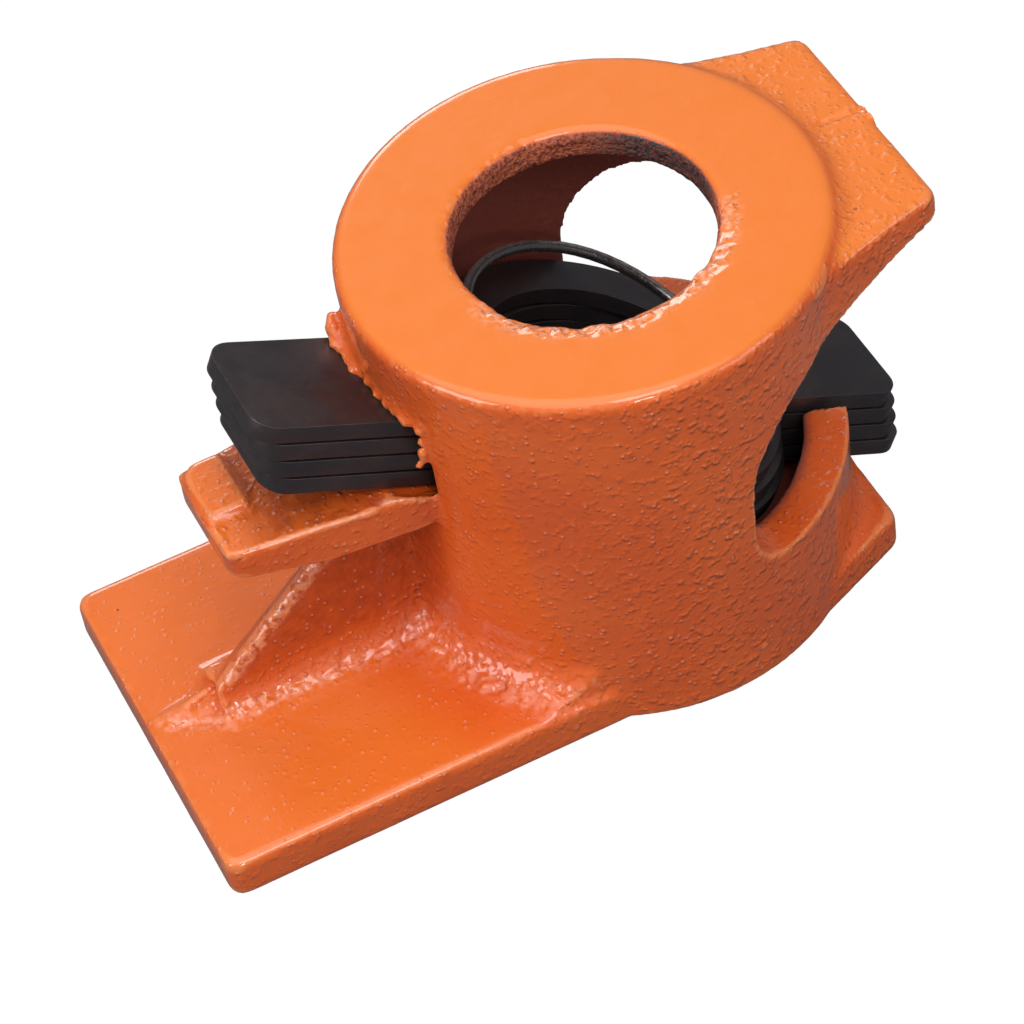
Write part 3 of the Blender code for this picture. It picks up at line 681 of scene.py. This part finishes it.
@dataclass
class Casting:
    """The hollow iron casting in its enamel: jaw plate, barrel, cap, anvil, cup and ledge."""

    layout: Layout = LAYOUT
    finish: EnamelFinish = EnamelFinish()
    voxel: float = 0.34 * MM
    most_triangles: int = 190000
    smooth_rounds: int = 2
    flow_rounds: int = 24
    swell: dict = field(default_factory=lambda: {
        "Swell Scale": 170.0, "Swell Height": 0.16 * MM,
        "Grain Scale": 620.0, "Grain Height": 0.10 * MM, "Seed": float(SEED)})
    beads: tuple = field(default_factory=lambda: (
        Bead(arc(26.1, 42.6, 172, 202), 110, (0.28, 0.50), 0.42, (-0.15, 0.0, -0.10), 3, 1.7),
        Bead(((-25.0, 9.4, 43.9), (-26.6, 8.2, 43.5), (-27.2, 5.6, 43.1)), 46,
             (0.40, 0.62), 0.45, (0.15, 0.0, 0.0), 4, 1.3),
        Bead(((-27.2, 5.6, 43.1), (-26.6, 3.4, 42.7), (-27.0, 0.9, 42.6)), 30,
             (0.35, 0.60), 0.40, (0.1, 0.0, 0.0), 12, 1.4),
        Bead(((-24.6, -9.7, 42.6), (-24.7, -9.7, 39.5), (-25.3, -9.8, 37.0)), 34,
             (0.25, 0.40), 0.25, (0.0, 0.1, 0.0), 5, 1.5),
        Bead(((1.5, -24.6, 5.6), (4.0, -24.4, 5.4)), 5,
             (0.5, 0.8), 0.3, (0.0, 0.0, 0.0), 10, 1.2),
        Bead(((34.2, -1.2, 48.6), (34.4, 3.2, 48.8)), 9,
             (0.35, 0.6), 0.4, (0.0, 0.0, 0.0), 14, 1.3),
    ))
    runs: tuple = field(default_factory=lambda: (
        Run(((-47.0, 0.0, 7.4), (-50.5, 0.0, 6.0), (-54.0, 0.2, 5.4), (-57.6, 0.5, 5.1)),
            (1.9, 1.5, 1.0, 0.65)),
        Run(((-47.5, -3.7, 5.2), (-51.0, -2.7, 4.9), (-54.5, -1.2, 4.8)), (1.1, 0.9, 0.6)),
        Run(((-47.5, 3.7, 5.2), (-51.0, 2.7, 4.9), (-54.5, 1.6, 4.8)), (1.1, 0.9, 0.6)),
        Run(((-49.3, -1.1, 8.5), (-40.0, -1.2, 17.1), (-31.0, -1.3, 25.6)), (1.15, 1.1, 1.1)),
        Run(((-46.4, -6.5, 32.85), (-40.0, -7.5, 32.85), (-31.0, -8.9, 32.85)),
            (0.60, 0.50, 0.50)),
        Run(((-46.5, -6.4, 32.85), (-46.6, 0.0, 33.1), (-46.5, 6.4, 32.85)),
            (0.60, 0.85, 0.60)),
        Run(((-46.4, 6.5, 32.85), (-40.0, 7.5, 32.85), (-31.0, 8.9, 32.85)), (0.60, 0.50, 0.50)),
    ))
    creases: tuple = field(default_factory=lambda: (
        Crease(((28.8, 1.1, 49.2), (31.4, 1.0, 49.2), (34.6, 1.0, 49.2)), 0.34, -0.42, 0.05),
        Crease(arc(26.4, 49.4, -52, 52, 30), 0.9, 0.22, 0.25, 350.0),
        Crease(arc(14.2, 50.8, -150, -35, 30), 1.8, -0.35, 0.30, 520.0),
        Crease(arc(15.4, 50.8, -160, -30, 30), 1.4, -0.05, 0.26, 1100.0),
        Crease(arc(14.6, 50.8, 90, 200, 24), 0.6, 0.0, 0.16, 1100.0),
        Crease(((4.8, 26.0, 17.7), (4.8, 26.0, 30.0), (8.0, 25.0, 36.5)), 1.0, 0.0, 0.25, 420.0),
        Crease(((4.8, 20.0, 17.7), (4.8, 20.0, 30.0), (8.0, 19.0, 36.5)), 1.0, 0.0, 0.25, 420.0),
        Crease(((4.8, -26.0, 18.0), (4.8, -26.0, 30.0), (8.0, -25.0, 36.5)),
               0.9, 0.0, 0.18, 300.0),
        Crease(((-53.0, -0.6, 6.6), (-50.8, -0.5, 7.8)), 0.8, -0.75, 0.0),
        # The creases from here on carry a pale share: painted highlights along the web's foot, the
        # barrel's foot and the web's near edge.
        Crease(((-56.5, -0.6, 5.6), (-52.0, -3.4, 6.0), (-40.0, -4.1, 6.2), (-27.3, -4.9, 6.4)),
               0.9, 0.0, 0.34, 1400.0, 0.9),
        Crease(arc(28.0, 6.7, 186, 240, 20), 1.9, 0.0, 0.34, 1300.0, 0.45),
        Crease(((-49.0, -2.0, 9.4), (-40.0, -2.1, 17.9), (-31.0, -2.2, 26.2)),
               0.9, 0.0, 0.30, 1300.0, 0.7),
    ))

    def source(self) -> Object:
        """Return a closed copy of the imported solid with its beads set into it."""
        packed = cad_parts["cast_body"]
        shape = bmesh.new()
        shape.from_mesh(packed.data)
        bmesh.ops.remove_doubles(shape, verts=shape.verts, dist=0.001 * MM)
        places = [place for bead in self.beads for place in self.bead_places(bead)]
        places += [place for run in self.runs for place in self.run_places(run)]
        lumps = self.balls(places)
        shape.from_mesh(lumps)
        bpy.data.meshes.remove(lumps)
        return mesh_object("casting_skin", shape)

    def balls(self, places: list[tuple[Vector, Vector]]) -> Mesh:
        """Return one mesh with a ball at every place.

        Args:
            places: The centre and the three radii of each ball.

        Returns:
            The balls, as closed shells that may overlap.
        """
        shape = bmesh.new()
        bmesh.ops.create_icosphere(shape, subdivisions=2, radius=1.0)
        ball = np.array([vert.co for vert in shape.verts])
        faces = np.array([[vert.index for vert in face.verts] for face in shape.faces])
        shape.free()
        points = np.concatenate([ball * np.array(radii) + np.array(centre)
                                 for centre, radii in places])
        shells = np.concatenate([faces + len(ball) * index for index in range(len(places))])
        mesh = bpy.data.meshes.new("lumps")
        mesh.from_pydata(points.tolist(), [], shells.tolist())
        return mesh

    def run_places(self, run: Run) -> list[tuple[Vector, Vector]]:
        """Return the centres and radii of the close row of balls that makes one rib."""
        points = [self.layout.place(*point) for point in run.path]
        places = []
        for start, end, first, last in zip(points[:-1], points[1:], run.radii[:-1], run.radii[1:]):
            count = math.ceil((end - start).length / (run.spacing * MM))
            for index in range(count + 1):
                share = index / count
                radius = (first + (last - first) * share) * MM
                places.append((start.lerp(end, share), Vector((radius,) * 3)))
        return places

    def bead_places(self, bead: Bead) -> list[tuple[Vector, Vector]]:
        """Return the centres and radii of one bead's lumps, scattered along its path."""
        random = np.random.default_rng(SEED + bead.seed)
        points = [self.layout.place(*point) for point in bead.path]
        push = Vector(bead.push) * MM
        places = []
        for _ in range(bead.count):
            run = random.uniform(0, len(points) - 1)
            start = min(int(run), len(points) - 2)
            centre = points[start].lerp(points[start + 1], run - start) + push
            centre += Vector(random.uniform(-1, 1, 3)) * bead.spread * MM
            radius = random.uniform(*bead.radii) * MM
            stretch = Vector(random.uniform(1 / bead.stretch, bead.stretch, 3)) * radius
            places.append((centre, stretch))
        return places

    def skin_tree(self) -> NodeTree:
        """Return the geometry tree that swells and roughens the skin by its sand mask."""
        graph, takes = start_shape_tree("Cast skin", dict.fromkeys(self.swell, "Float"))
        sand = graph.add("GeometryNodeInputNamedAttribute", {"Name": Mask.SAND.value},
                         data_type="FLOAT").outputs["Attribute"]
        position = graph.add("GeometryNodeInputPosition").outputs[0]
        place = graph.add("ShaderNodeVectorMath", {0: position, 1: takes["Seed"]},
                          operation="ADD").outputs[0]
        lift = None
        for scale, height, detail in (("Swell Scale", "Swell Height", 1.0),
                                      ("Grain Scale", "Grain Height", 2.0)):
            ripple = graph.noise(place, takes[scale], detail)
            tall = graph.times(graph.math("SUBTRACT", ripple, 0.5), takes[height])
            lift = tall if lift is None else graph.plus(lift, tall)
        lift = graph.times(lift, sand)
        normal = graph.add("GeometryNodeInputNormal").outputs[0]
        offset = graph.add("ShaderNodeVectorMath", {0: normal, "Scale": lift},
                           operation="SCALE").outputs[0]
        moved = graph.add("GeometryNodeSetPosition", {"Geometry": takes["Geometry"],
                                                      "Offset": offset}).outputs[0]
        return end_shape_tree(graph, moved, takes["Finish"])

    def press_creases(self, mesh: Mesh) -> np.ndarray:
        """Press every crease into the skin, and return how much painted highlight each point gets.
        """
        noise.seed_set(SEED)
        points, normals = read_points(mesh), read_normals(mesh)
        pale = np.zeros(len(points))
        for crease in self.creases:
            path = np.array([self.layout.place(*point) for point in crease.path])
            reach = 2.2 * crease.radius * MM
            close = ((points > path.min(axis=0) - reach) & (points < path.max(axis=0) + reach)
                     ).all(axis=1).nonzero()[0]
            away = np.full(len(close), np.inf)
            for start, end in zip(path[:-1], path[1:]):
                run = end - start
                along = np.clip((points[close] - start) @ run / (run @ run), 0, 1)
                gap = points[close] - start - along[:, None] * run
                away = np.minimum(away, np.linalg.norm(gap, axis=1))
            share = np.exp(-(away / (crease.radius * MM)) ** 2)
            points[close] += normals[close] * (share * crease.height * MM)[:, None]
            pale[close] = np.maximum(pale[close], share * crease.pale)
            if crease.ragged:
                for index, weight in zip(close, share):
                    if weight > 0.03:
                        stray = noise.noise_vector(Vector(points[index]) * crease.scale)
                        points[index] += np.array(stray) * weight * crease.ragged * MM
        write_points(mesh, points)
        return pale

    def flow(self, mesh: Mesh) -> None:
        """Let the inner corners of the skin fill up and run out, as thick enamel does."""
        points, normals = read_points(mesh), read_normals(mesh)
        near = Neighbours(mesh)
        hollow = near.smooth(near.bend(points, normals), 6)
        share = near.smooth(step_mm(hollow, -0.004, -0.016), 6)
        share = np.clip(share * 1.6, 0, 1)
        for _ in range(self.flow_rounds):
            points += (near.middle(points) - points) * (0.5 * share)[:, None]
        write_points(mesh, points)

    def thin_out(self, skin: Object) -> None:
        """Merge faces, the flattest first, until the skin has at most the set number of triangles.
        """
        skin.data.calc_loop_triangles()
        thin = skin.modifiers.new("fewer flat faces", "DECIMATE")
        thin.ratio = min(1.0, self.most_triangles / len(skin.data.loop_triangles))
        freeze(skin)

    def write_masks(self, mesh: Mesh, pale: np.ndarray) -> None:
        """Work out where the skin is sandy, proud, hollow, rough inside or bare, and where painted
        shade, painted highlights and the painted top light go.

        Args:
            mesh: The skin.
            pale: How much painted highlight each point has already, from the creases.
        """
        layout = self.layout
        points, normals = read_points(mesh), read_normals(mesh)
        near = Neighbours(mesh)
        x, y, z = points[:, 0] - layout.axis_x, points[:, 1], points[:, 2]
        radius = np.hypot(x, y)
        bend = near.smooth(near.bend(points, normals), 3)
        write_mask(mesh, Mask.RIDGE, step_mm(bend, 0.005, 0.024))
        wide = near.smooth(near.bend(points, normals), 40)
        write_mask(mesh, Mask.HOLLOW, step_mm(wide, -0.002, -0.012))

        inward = -(x * normals[:, 0] + y * normals[:, 1]) / np.maximum(radius, MM)
        cap_wall = (step_mm(np.abs(radius - layout.bore_radius), 1.5, 0.9)
                    * step(z, layout.cap_z - 0.8 * MM, layout.cap_z)
                    * step(inward, 0.45, 0.75))
        room = (step(radius, layout.cavity_radius + 1.0 * MM, layout.cavity_radius + 0.3 * MM)
                * step(z, layout.floor_z - 0.8 * MM, layout.floor_z - 0.1 * MM)
                * step(z, layout.cap_z + 0.4 * MM, layout.cap_z) * (1 - cap_wall))
        write_mask(mesh, Mask.INSIDE, near.smooth(room, 2))
        angle = np.degrees(np.arctan2(y, x))
        write_mask(mesh, Mask.BARE, step(angle, -25, 0) * step(angle, 75, 40))

        up = normals[:, 2]
        top = step(up, 0.6, 0.9)
        # Painted top light: up-facing faces high on the cap and far from the axis are painted
        # paler and yellower, as if more brightly lit.
        outer = np.maximum(step_mm(z, 46, 48), 0.55 * step_mm(radius, 30, 40))
        write_mask(mesh, Mask.TOP, near.smooth(top * outer, 4))
        ring = top * step(z, layout.ring_z - 1.0 * MM, layout.ring_z - 0.3 * MM)
        jaw = top * step(z, layout.jaw_thickness + 1.2 * MM, layout.jaw_thickness + 0.4 * MM)
        under = step(up, -0.7, -0.95) * step_mm(z, 1.0, 0.4)
        side = step(np.abs(up), 0.7, 0.3) * step_mm(x + y / 2, -26, -8)
        sand = 0.50 + 0.50 * side + 0.5 * step_mm(wide, -0.001, -0.010)
        sand = sand * (1 - 0.85 * ring) * (1 - 0.45 * jaw) * (1 - 0.9 * under)
        # Painted highlight: a ragged band on the near inner lip of the cap is tinted pale; it is
        # also roughened.
        lip = step_mm(radius, 17.0, 15.8) * step_mm(z, 49.6, 50.3) * step_mm(y, -3, -7)
        write_mask(mesh, Mask.PALE_HIGHLIGHT, near.smooth(np.maximum(lip, pale), 2))
        # Painted shade: the ledge top under the plate tabs and the web's sides near the barrel,
        # where shade falls, are marked to be painted darker.
        under_tabs = (top * step_mm(np.abs(z - layout.crest_z), 1.2, 0.6)
                      * step_mm(x, -22, -26) * step_mm(x, -46, -41))
        beside_web = (step_mm(np.abs(y), 12, 5) * step_mm(x, -22, -26) * step_mm(z, 6, 12)
                      * step_mm(x - z, -80, -46) * step_mm(z, 29, 26))
        write_mask(mesh, Mask.SHADE, near.smooth(np.maximum(under_tabs, beside_web), 8))
        sand = np.maximum(np.maximum(sand, cap_wall), lip)
        write_mask(mesh, Mask.SAND, near.smooth(np.clip(sand, 0, 1), 6))

    def keep_in_box(self, mesh: Mesh) -> None:
        """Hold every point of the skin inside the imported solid's box."""
        low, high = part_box("cast_body")
        write_points(mesh, np.clip(read_points(mesh), np.array(low), np.array(high)))

    def build(self, effects: Effects) -> Object:
        """Build and dress the skin.

        Args:
            effects: The shared shader groups.

        Returns:
            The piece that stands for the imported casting.
        """
        skin = self.source()
        remesh = skin.modifiers.new("skin", "REMESH")
        remesh.mode = "VOXEL"
        remesh.voxel_size = self.voxel
        soften = skin.modifiers.new("soft edges", "SMOOTH")
        soften.factor = 0.5
        soften.iterations = self.smooth_rounds
        freeze(skin)
        self.flow(skin.data)
        self.write_masks(skin.data, self.press_creases(skin.data))

        use_shape_tree(skin, self.skin_tree(),
                       {**self.swell, "Finish": self.finish.material(effects)})
        freeze(skin)
        self.thin_out(skin)
        self.keep_in_box(skin.data)
        skin.data.shade_smooth()
        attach(skin, Body.CASTING.value)
        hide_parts("cast_body")
        return skin


# Clutch plates


@dataclass
class ClutchPlate:
    """One stamped clutch plate with a round hole, a round middle and two square tabs."""

    number: int
    layout: Layout = LAYOUT
    thickness: float = 2.0 * MM
    disc_radius: float = 19.5 * MM
    tab_half: float = 7.25 * MM
    corner: float = 2.8 * MM
    neck: float = 1.8 * MM
    finger_reach: float = 45.70 * MM
    notch_reach: float = 35.03 * MM
    edge_radius: float = 0.42 * MM
    edge_steps: int = 4
    edge_angle: float = math.radians(60)
    hole_points: int = 144

    def outline(self) -> list[tuple[float, float]]:
        """Return the plate's outline about its hole, counter-clockwise."""
        def sweep(centre: tuple, radius: float, start: float, end: float, steps: int) -> list:
            angles = np.radians(np.linspace(start, end, steps + 1))
            return [(centre[0] + radius * math.cos(a), centre[1] + radius * math.sin(a))
                    for a in angles]

        neck_y = self.tab_half + self.neck
        neck_x = math.sqrt((self.disc_radius + self.neck) ** 2 - neck_y ** 2)
        touch = math.degrees(math.atan2(neck_y, neck_x))
        half = sweep((self.corner - self.finger_reach, self.corner - self.tab_half),
                     self.corner, 180, 270, 9)
        half += sweep((-neck_x, -neck_y), self.neck, 90, touch, 6)
        half += sweep((0, 0), self.disc_radius, 180 + touch, 360 - touch, 48)[1:-1]
        half += sweep((neck_x, -neck_y), self.neck, 180 - touch, 90, 6)
        half += sweep((self.notch_reach - self.corner, self.corner - self.tab_half),
                      self.corner, 270, 360, 9)
        return half + [(x, -y) for x, y in reversed(half)]

    def placing(self) -> Matrix:
        """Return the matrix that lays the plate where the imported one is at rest."""
        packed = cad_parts[f"clutch_plate_{self.number}"]
        turn = Matrix.Rotation(self.layout.rest_tilt, 4, "Y")
        flat = read_points(packed.data) @ np.array(turn.to_3x3())
        low = flat.min(axis=0)
        return turn @ Matrix.Translation((low[0] + self.finger_reach, 0, low[2]))

    def shape(self) -> bmesh.types.BMesh:
        """Return the plate, flat, with its underside at zero and its edges rolled."""
        angles = np.linspace(0, math.tau, self.hole_points, endpoint=False)
        hole = [(self.layout.hole_radius * math.cos(a), self.layout.hole_radius * math.sin(a))
                for a in angles]
        outer = self.outline()
        shape = bmesh.new()
        for height in (0.0, self.thickness):
            loops = []
            for line in (outer, hole):
                ring = [shape.verts.new((x, y, height)) for x, y in line]
                loops += [shape.edges.new((ring[i - 1], ring[i])) for i in range(len(ring))]
            bmesh.ops.triangle_fill(shape, edges=loops, use_beauty=True)
        shape.verts.ensure_lookup_table()
        total = len(outer)
        half = len(shape.verts) // 2
        for start, size in ((0, total), (total, len(hole))):
            for i in range(size):
                a, b = start + (i - 1) % size, start + i
                shape.faces.new([shape.verts[k] for k in (a, b, b + half, a + half)])
        bmesh.ops.recalc_face_normals(shape, faces=shape.faces)
        return shape

    def build(self, effects: Effects, finish: OxideFinish) -> Object:
        """Build and dress the plate.

        Args:
            effects: The shared shader groups.
            finish: The oxide.

        Returns:
            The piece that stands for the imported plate.
        """
        plate = mesh_object(f"stamped_plate_{self.number}", self.shape())
        bevel = plate.modifiers.new("rolled edges", "BEVEL")
        bevel.width = self.edge_radius
        bevel.segments = self.edge_steps
        bevel.limit_method = "ANGLE"
        bevel.angle_limit = self.edge_angle
        bevel.harden_normals = False
        freeze(plate)
        points = read_points(plate.data)
        middle = np.abs(points[:, 2] - self.thickness / 2)
        flat = middle > self.thickness / 2 - 0.02 * MM
        normals = read_normals(plate.data)
        upright = np.abs(normals[:, 2])
        rolled = step(upright, 0.995, 0.85) * step(upright, 0.12, 0.4)
        write_mask(plate.data, Mask.WEAR, np.where(flat, 0.25 * (rolled > 0), rolled))
        plate.data.transform(self.placing())
        plate.data.shade_smooth()
        plate.data.materials.append(finish.material(effects, self.number))
        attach(plate, f"plate_{self.number}")
        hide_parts(f"clutch_plate_{self.number}")
        return plate


# Spring


@dataclass
class ReturnSpring:
    """Wide, short compression spring between the top plate and the cap."""

    layout: Layout = LAYOUT
    finish: WireFinish = WireFinish()
    wire_radius: float = 0.65 * MM
    mean_radius: float = 16.5 * MM
    rest_gap: float = 0.3 * MM
    stack_height: float = 8.9 * MM
    start_degrees: float = -169.0
    plate_turns: float = 0.54
    rise_turns: float = 0.73
    cap_turns: float = 0.75
    middle_shift: float = 1.45 * MM
    middle_squeeze: float = 1.5 * MM
    points_per_turn: int = 56
    sides: int = 16

    def centre_line(self) -> list[Vector]:
        """Return the points that the wire follows, from the plate up to the cap."""
        layout = self.layout
        stand_off = self.wire_radius + self.rest_gap
        above = self.rest_gap + self.stack_height + stand_off
        tilt = layout.rest_tilt
        low_z = layout.crest_z + (layout.crest_x * math.sin(tilt) + above) / math.cos(tilt)
        low = Vector((layout.axis_x, 0, low_z))
        high = Vector((layout.axis_x, 0, layout.cap_z - stand_off))
        turns = self.plate_turns + self.rise_turns + self.cap_turns
        count = round(turns * self.points_per_turn)
        points = []
        for index in range(count + 1):
            turn = turns * index / count
            climb = min(max((turn - self.plate_turns) / self.rise_turns, 0), 1)
            lean = tilt * (1 - climb)
            angle = math.tau * turn + math.radians(self.start_degrees)
            slack = math.sin(math.pi * climb)
            radius = self.mean_radius - self.middle_squeeze * slack
            across = radius * math.cos(angle)
            points.append(low.lerp(high, climb) + Vector((
                across * math.cos(lean) + self.middle_shift * slack, radius * math.sin(angle),
                -across * math.sin(lean))))
        return points

    def wire_tree(self) -> NodeTree:
        """Return the geometry tree that draws round wire along a curve."""
        graph, takes = start_shape_tree("Wound wire", {"Wire Radius": "Float", "Sides": "Int"})
        ring = graph.add("GeometryNodeCurvePrimitiveCircle", {
            "Resolution": takes["Sides"], "Radius": takes["Wire Radius"]}).outputs["Curve"]
        along = graph.add("GeometryNodeSplineParameter").outputs["Length"]
        marked = graph.add("GeometryNodeStoreNamedAttribute", {
            "Geometry": takes["Geometry"], "Name": "along", "Value": along},
            data_type="FLOAT", domain="POINT").outputs[0]
        tube = graph.add("GeometryNodeCurveToMesh", {"Curve": marked, "Profile Curve": ring,
                                                     "Fill Caps": True}).outputs[0]
        return end_shape_tree(graph, tube, takes["Finish"])

    def map_wire(self, mesh: Mesh, line: list[Vector]) -> None:
        """Give the wire its lengthwise map, its wear on the outer side and a painted glint along
        its top.

        Args:
            mesh: The wire's mesh.
            line: The points that the wire follows.
        """
        along = read_rows(mesh.attributes["along"].data, "value", 1, np.float32)[:, 0]
        points = read_points(mesh)
        centres = np.array(line)
        runs = np.concatenate(([0], np.cumsum(np.linalg.norm(np.diff(centres, axis=0), axis=1))))
        middle = np.stack([np.interp(along, runs, centres[:, axis]) for axis in range(3)], axis=1)
        side = points - middle
        outward = side[:, 0] * (middle[:, 0] - self.layout.axis_x) + side[:, 1] * middle[:, 1]
        round_share = np.arctan2(side[:, 2], outward / self.mean_radius) / math.tau + 0.5
        layer = mesh.uv_layers.new(name=WIRE_MAP)
        corners = read_rows(mesh.loops, "vertex_index", 1, np.int32)[:, 0]
        chart = np.stack([along[corners] * 100, round_share[corners]], axis=1)
        layer.data.foreach_set("uv", chart.astype(np.float32).ravel())
        # Painted glint: the top of the wire along its far arc is painted pale, as a highlight; the
        # outer side gets half as much wear.
        glint = step(side[:, 2] / self.wire_radius, 0.50, 0.98) * step_mm(middle[:, 1], 2, 9)
        outer = step(outward / self.mean_radius / self.wire_radius, 0.6, 1.0)
        write_mask(mesh, Mask.WEAR, np.maximum(glint, 0.5 * outer))
        mesh.attributes.remove(mesh.attributes["along"])

    def build(self, effects: Effects) -> Object:
        """Build and dress the spring.

        Args:
            effects: The shared shader groups.

        Returns:
            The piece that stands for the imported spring.
        """
        line = self.centre_line()
        curve = bpy.data.curves.new("wire line", "CURVE")
        curve.dimensions = "3D"
        spline = curve.splines.new("POLY")
        spline.points.add(len(line) - 1)
        for slot, point in zip(spline.points, line):
            slot.co = (*point, 1.0)
        carrier = link(bpy.data.objects.new("wire line", curve))
        use_shape_tree(carrier, self.wire_tree(), {
            "Wire Radius": self.wire_radius, "Sides": self.sides,
            "Finish": self.finish.material(effects)})
        mesh = result(carrier)
        mesh.name = "wound_spring"
        bpy.data.objects.remove(carrier)
        spring = link(bpy.data.objects.new("wound_spring", mesh))
        self.map_wire(mesh, line)
        self.close_ends(mesh)
        mesh.shade_smooth()
        mesh.set_sharp_from_angle(angle=math.radians(50))
        self.follow(spring)
        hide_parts("return_spring")
        return spring

    def close_ends(self, mesh: Mesh) -> None:
        """Join the end caps to the tube and turn every face outwards."""
        shape = bmesh.new()
        shape.from_mesh(mesh)
        bmesh.ops.remove_doubles(shape, verts=shape.verts, dist=0.001 * MM)
        bmesh.ops.recalc_face_normals(shape, faces=shape.faces)
        shape.to_mesh(mesh)
        shape.free()

    def follow(self, spring: Object) -> None:
        """Bake the spring's place into its mesh."""
        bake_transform(spring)


# Studio


@dataclass(frozen=True)
class Lamp:
    """A square soft lamp: its name, its place, its side in metres and its power in watts."""

    name: str
    place: tuple
    size: float
    power: float

    def hang(self, target: Vector) -> None:
        """Put the lamp into the scene so that it shines at the target."""
        data = bpy.data.lights.new(self.name, "AREA")
        data.size = self.size
        data.energy = self.power
        made = link(bpy.data.objects.new(self.name, data))
        made.location = self.place
        aim = target - Vector(self.place)
        made.rotation_euler = aim.to_track_quat("-Z", "Y").to_euler()


@dataclass(frozen=True)
class Studio:
    """Plain pale floor, soft light and the camera that looks down on the stop."""

    camera_place: tuple = (-0.0933, -0.2836, 0.3377)
    camera_right: tuple = (0.893, -0.433, -0.124)
    camera_up: tuple = (0.398, 0.631, 0.666)
    sensor: float = 36.0
    focal_pixels: float = 4000.0
    frame_pixels: float = 1024.0
    world_strength: float = 0.25
    floor_size: float = 4.0
    floor_drop: float = 0.02 * MM
    floor_colour: tuple = (0.20, 0.20, 0.20, 1.0)
    floor_roughness: float = 0.9
    glow: float = 1.10
    glow_share: float = 0.90
    white: tuple = (1.0, 1.0, 1.0, 1.0)
    target: tuple = (0.0, 0.0, 0.02)
    lamps: tuple = (
        Lamp("overhead lamp", (-0.08, -0.02, 0.55), 0.60, 1.70),
        Lamp("left lamp", (-0.84, -0.10, 0.48), 0.40, 3.1),
        Lamp("right lamp", (0.56, -0.62, 0.46), 0.40, 1.3),
        Lamp("front lamp", (-0.05, -0.50, 0.33), 0.07, 0.36),
        Lamp("high front lamp", (0.0, -0.30, 0.52), 0.18, 0.60),
        Lamp("back lamp", (0.17, 0.86, 0.38), 0.30, 1.6))

    def camera(self) -> None:
        """Set up the camera, looking from where the picture was taken."""
        data = bpy.data.cameras.new("studio camera")
        data.sensor_width = self.sensor
        data.lens = self.focal_pixels / self.frame_pixels * self.sensor
        data.clip_start = 0.01
        right = Vector(self.camera_right).normalized()
        up = Vector(self.camera_up)
        up = (up - right * up.dot(right)).normalized()
        turn = Matrix((right, up, right.cross(up))).transposed()
        made = link(bpy.data.objects.new("studio camera", data))
        made.matrix_world = Matrix.Translation(self.camera_place) @ turn.to_4x4()
        bpy.context.scene.camera = made

    def world(self) -> None:
        """Light the whole scene evenly, and show white behind it."""
        world = bpy.data.worlds.new("studio")
        bpy.context.scene.world = world
        world.use_nodes = True
        graph = Graph(world.node_tree)
        rays = graph.add("ShaderNodeLightPath")
        strength = graph.math("MAXIMUM", rays.outputs["Is Camera Ray"], self.world_strength)
        graph.fill(world.node_tree.nodes["Background"],
                   {"Color": self.white, "Strength": strength})

    def floor(self) -> None:
        """Lay the pale floor, which keeps the stop's soft shadow."""
        shape = bmesh.new()
        bmesh.ops.create_grid(shape, x_segments=1, y_segments=1, size=self.floor_size / 2)
        made = mesh_object("studio floor", shape)
        made.location.z = -self.floor_drop
        finish, graph, shader = blank_material("studio_floor")
        graph.fill(shader, {"Base Color": self.floor_colour, "Specular IOR Level": 0.0,
                            "Roughness": self.floor_roughness})
        rays = graph.add("ShaderNodeLightPath")
        glow = graph.add("ShaderNodeEmission", {"Color": self.white, "Strength": self.glow})
        share = graph.times(rays.outputs["Is Camera Ray"], self.glow_share)
        both = graph.add("ShaderNodeMixShader", {0: share, 1: shader.outputs[0],
                                                 2: glow.outputs[0]})
        output = finish.node_tree.nodes["Material Output"]
        graph.link(both.outputs[0], output.inputs["Surface"])
        made.data.materials.append(finish)

    def build(self) -> None:
        """Set up the camera, the floor and the lights."""
        bpy.context.scene.view_settings.view_transform = "Standard"
        self.camera()
        self.world()
        self.floor()
        for lamp in self.lamps:
            lamp.hang(Vector(self.target))


# Main


def report(piece: Object) -> None:
    """Log a finished piece's name, size and face count."""
    size = " x ".join(f"{edge / MM:.1f}" for edge in piece.dimensions)
    log.info("%s: %s mm, %d faces", piece.name, size, len(piece.data.polygons))


def main() -> None:
    """Build the studio and every piece of the stop, in order."""
    logging.basicConfig(level=logging.INFO, format="%(name)s: %(message)s")
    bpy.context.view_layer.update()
    Studio().build()
    effects = Effects()
    report(Casting().build(effects))
    oxide = OxideFinish()
    for number in range(1, 5):
        report(ClutchPlate(number).build(effects, oxide))
    report(ReturnSpring().build(effects))


if __name__ == "__main__":
    main()
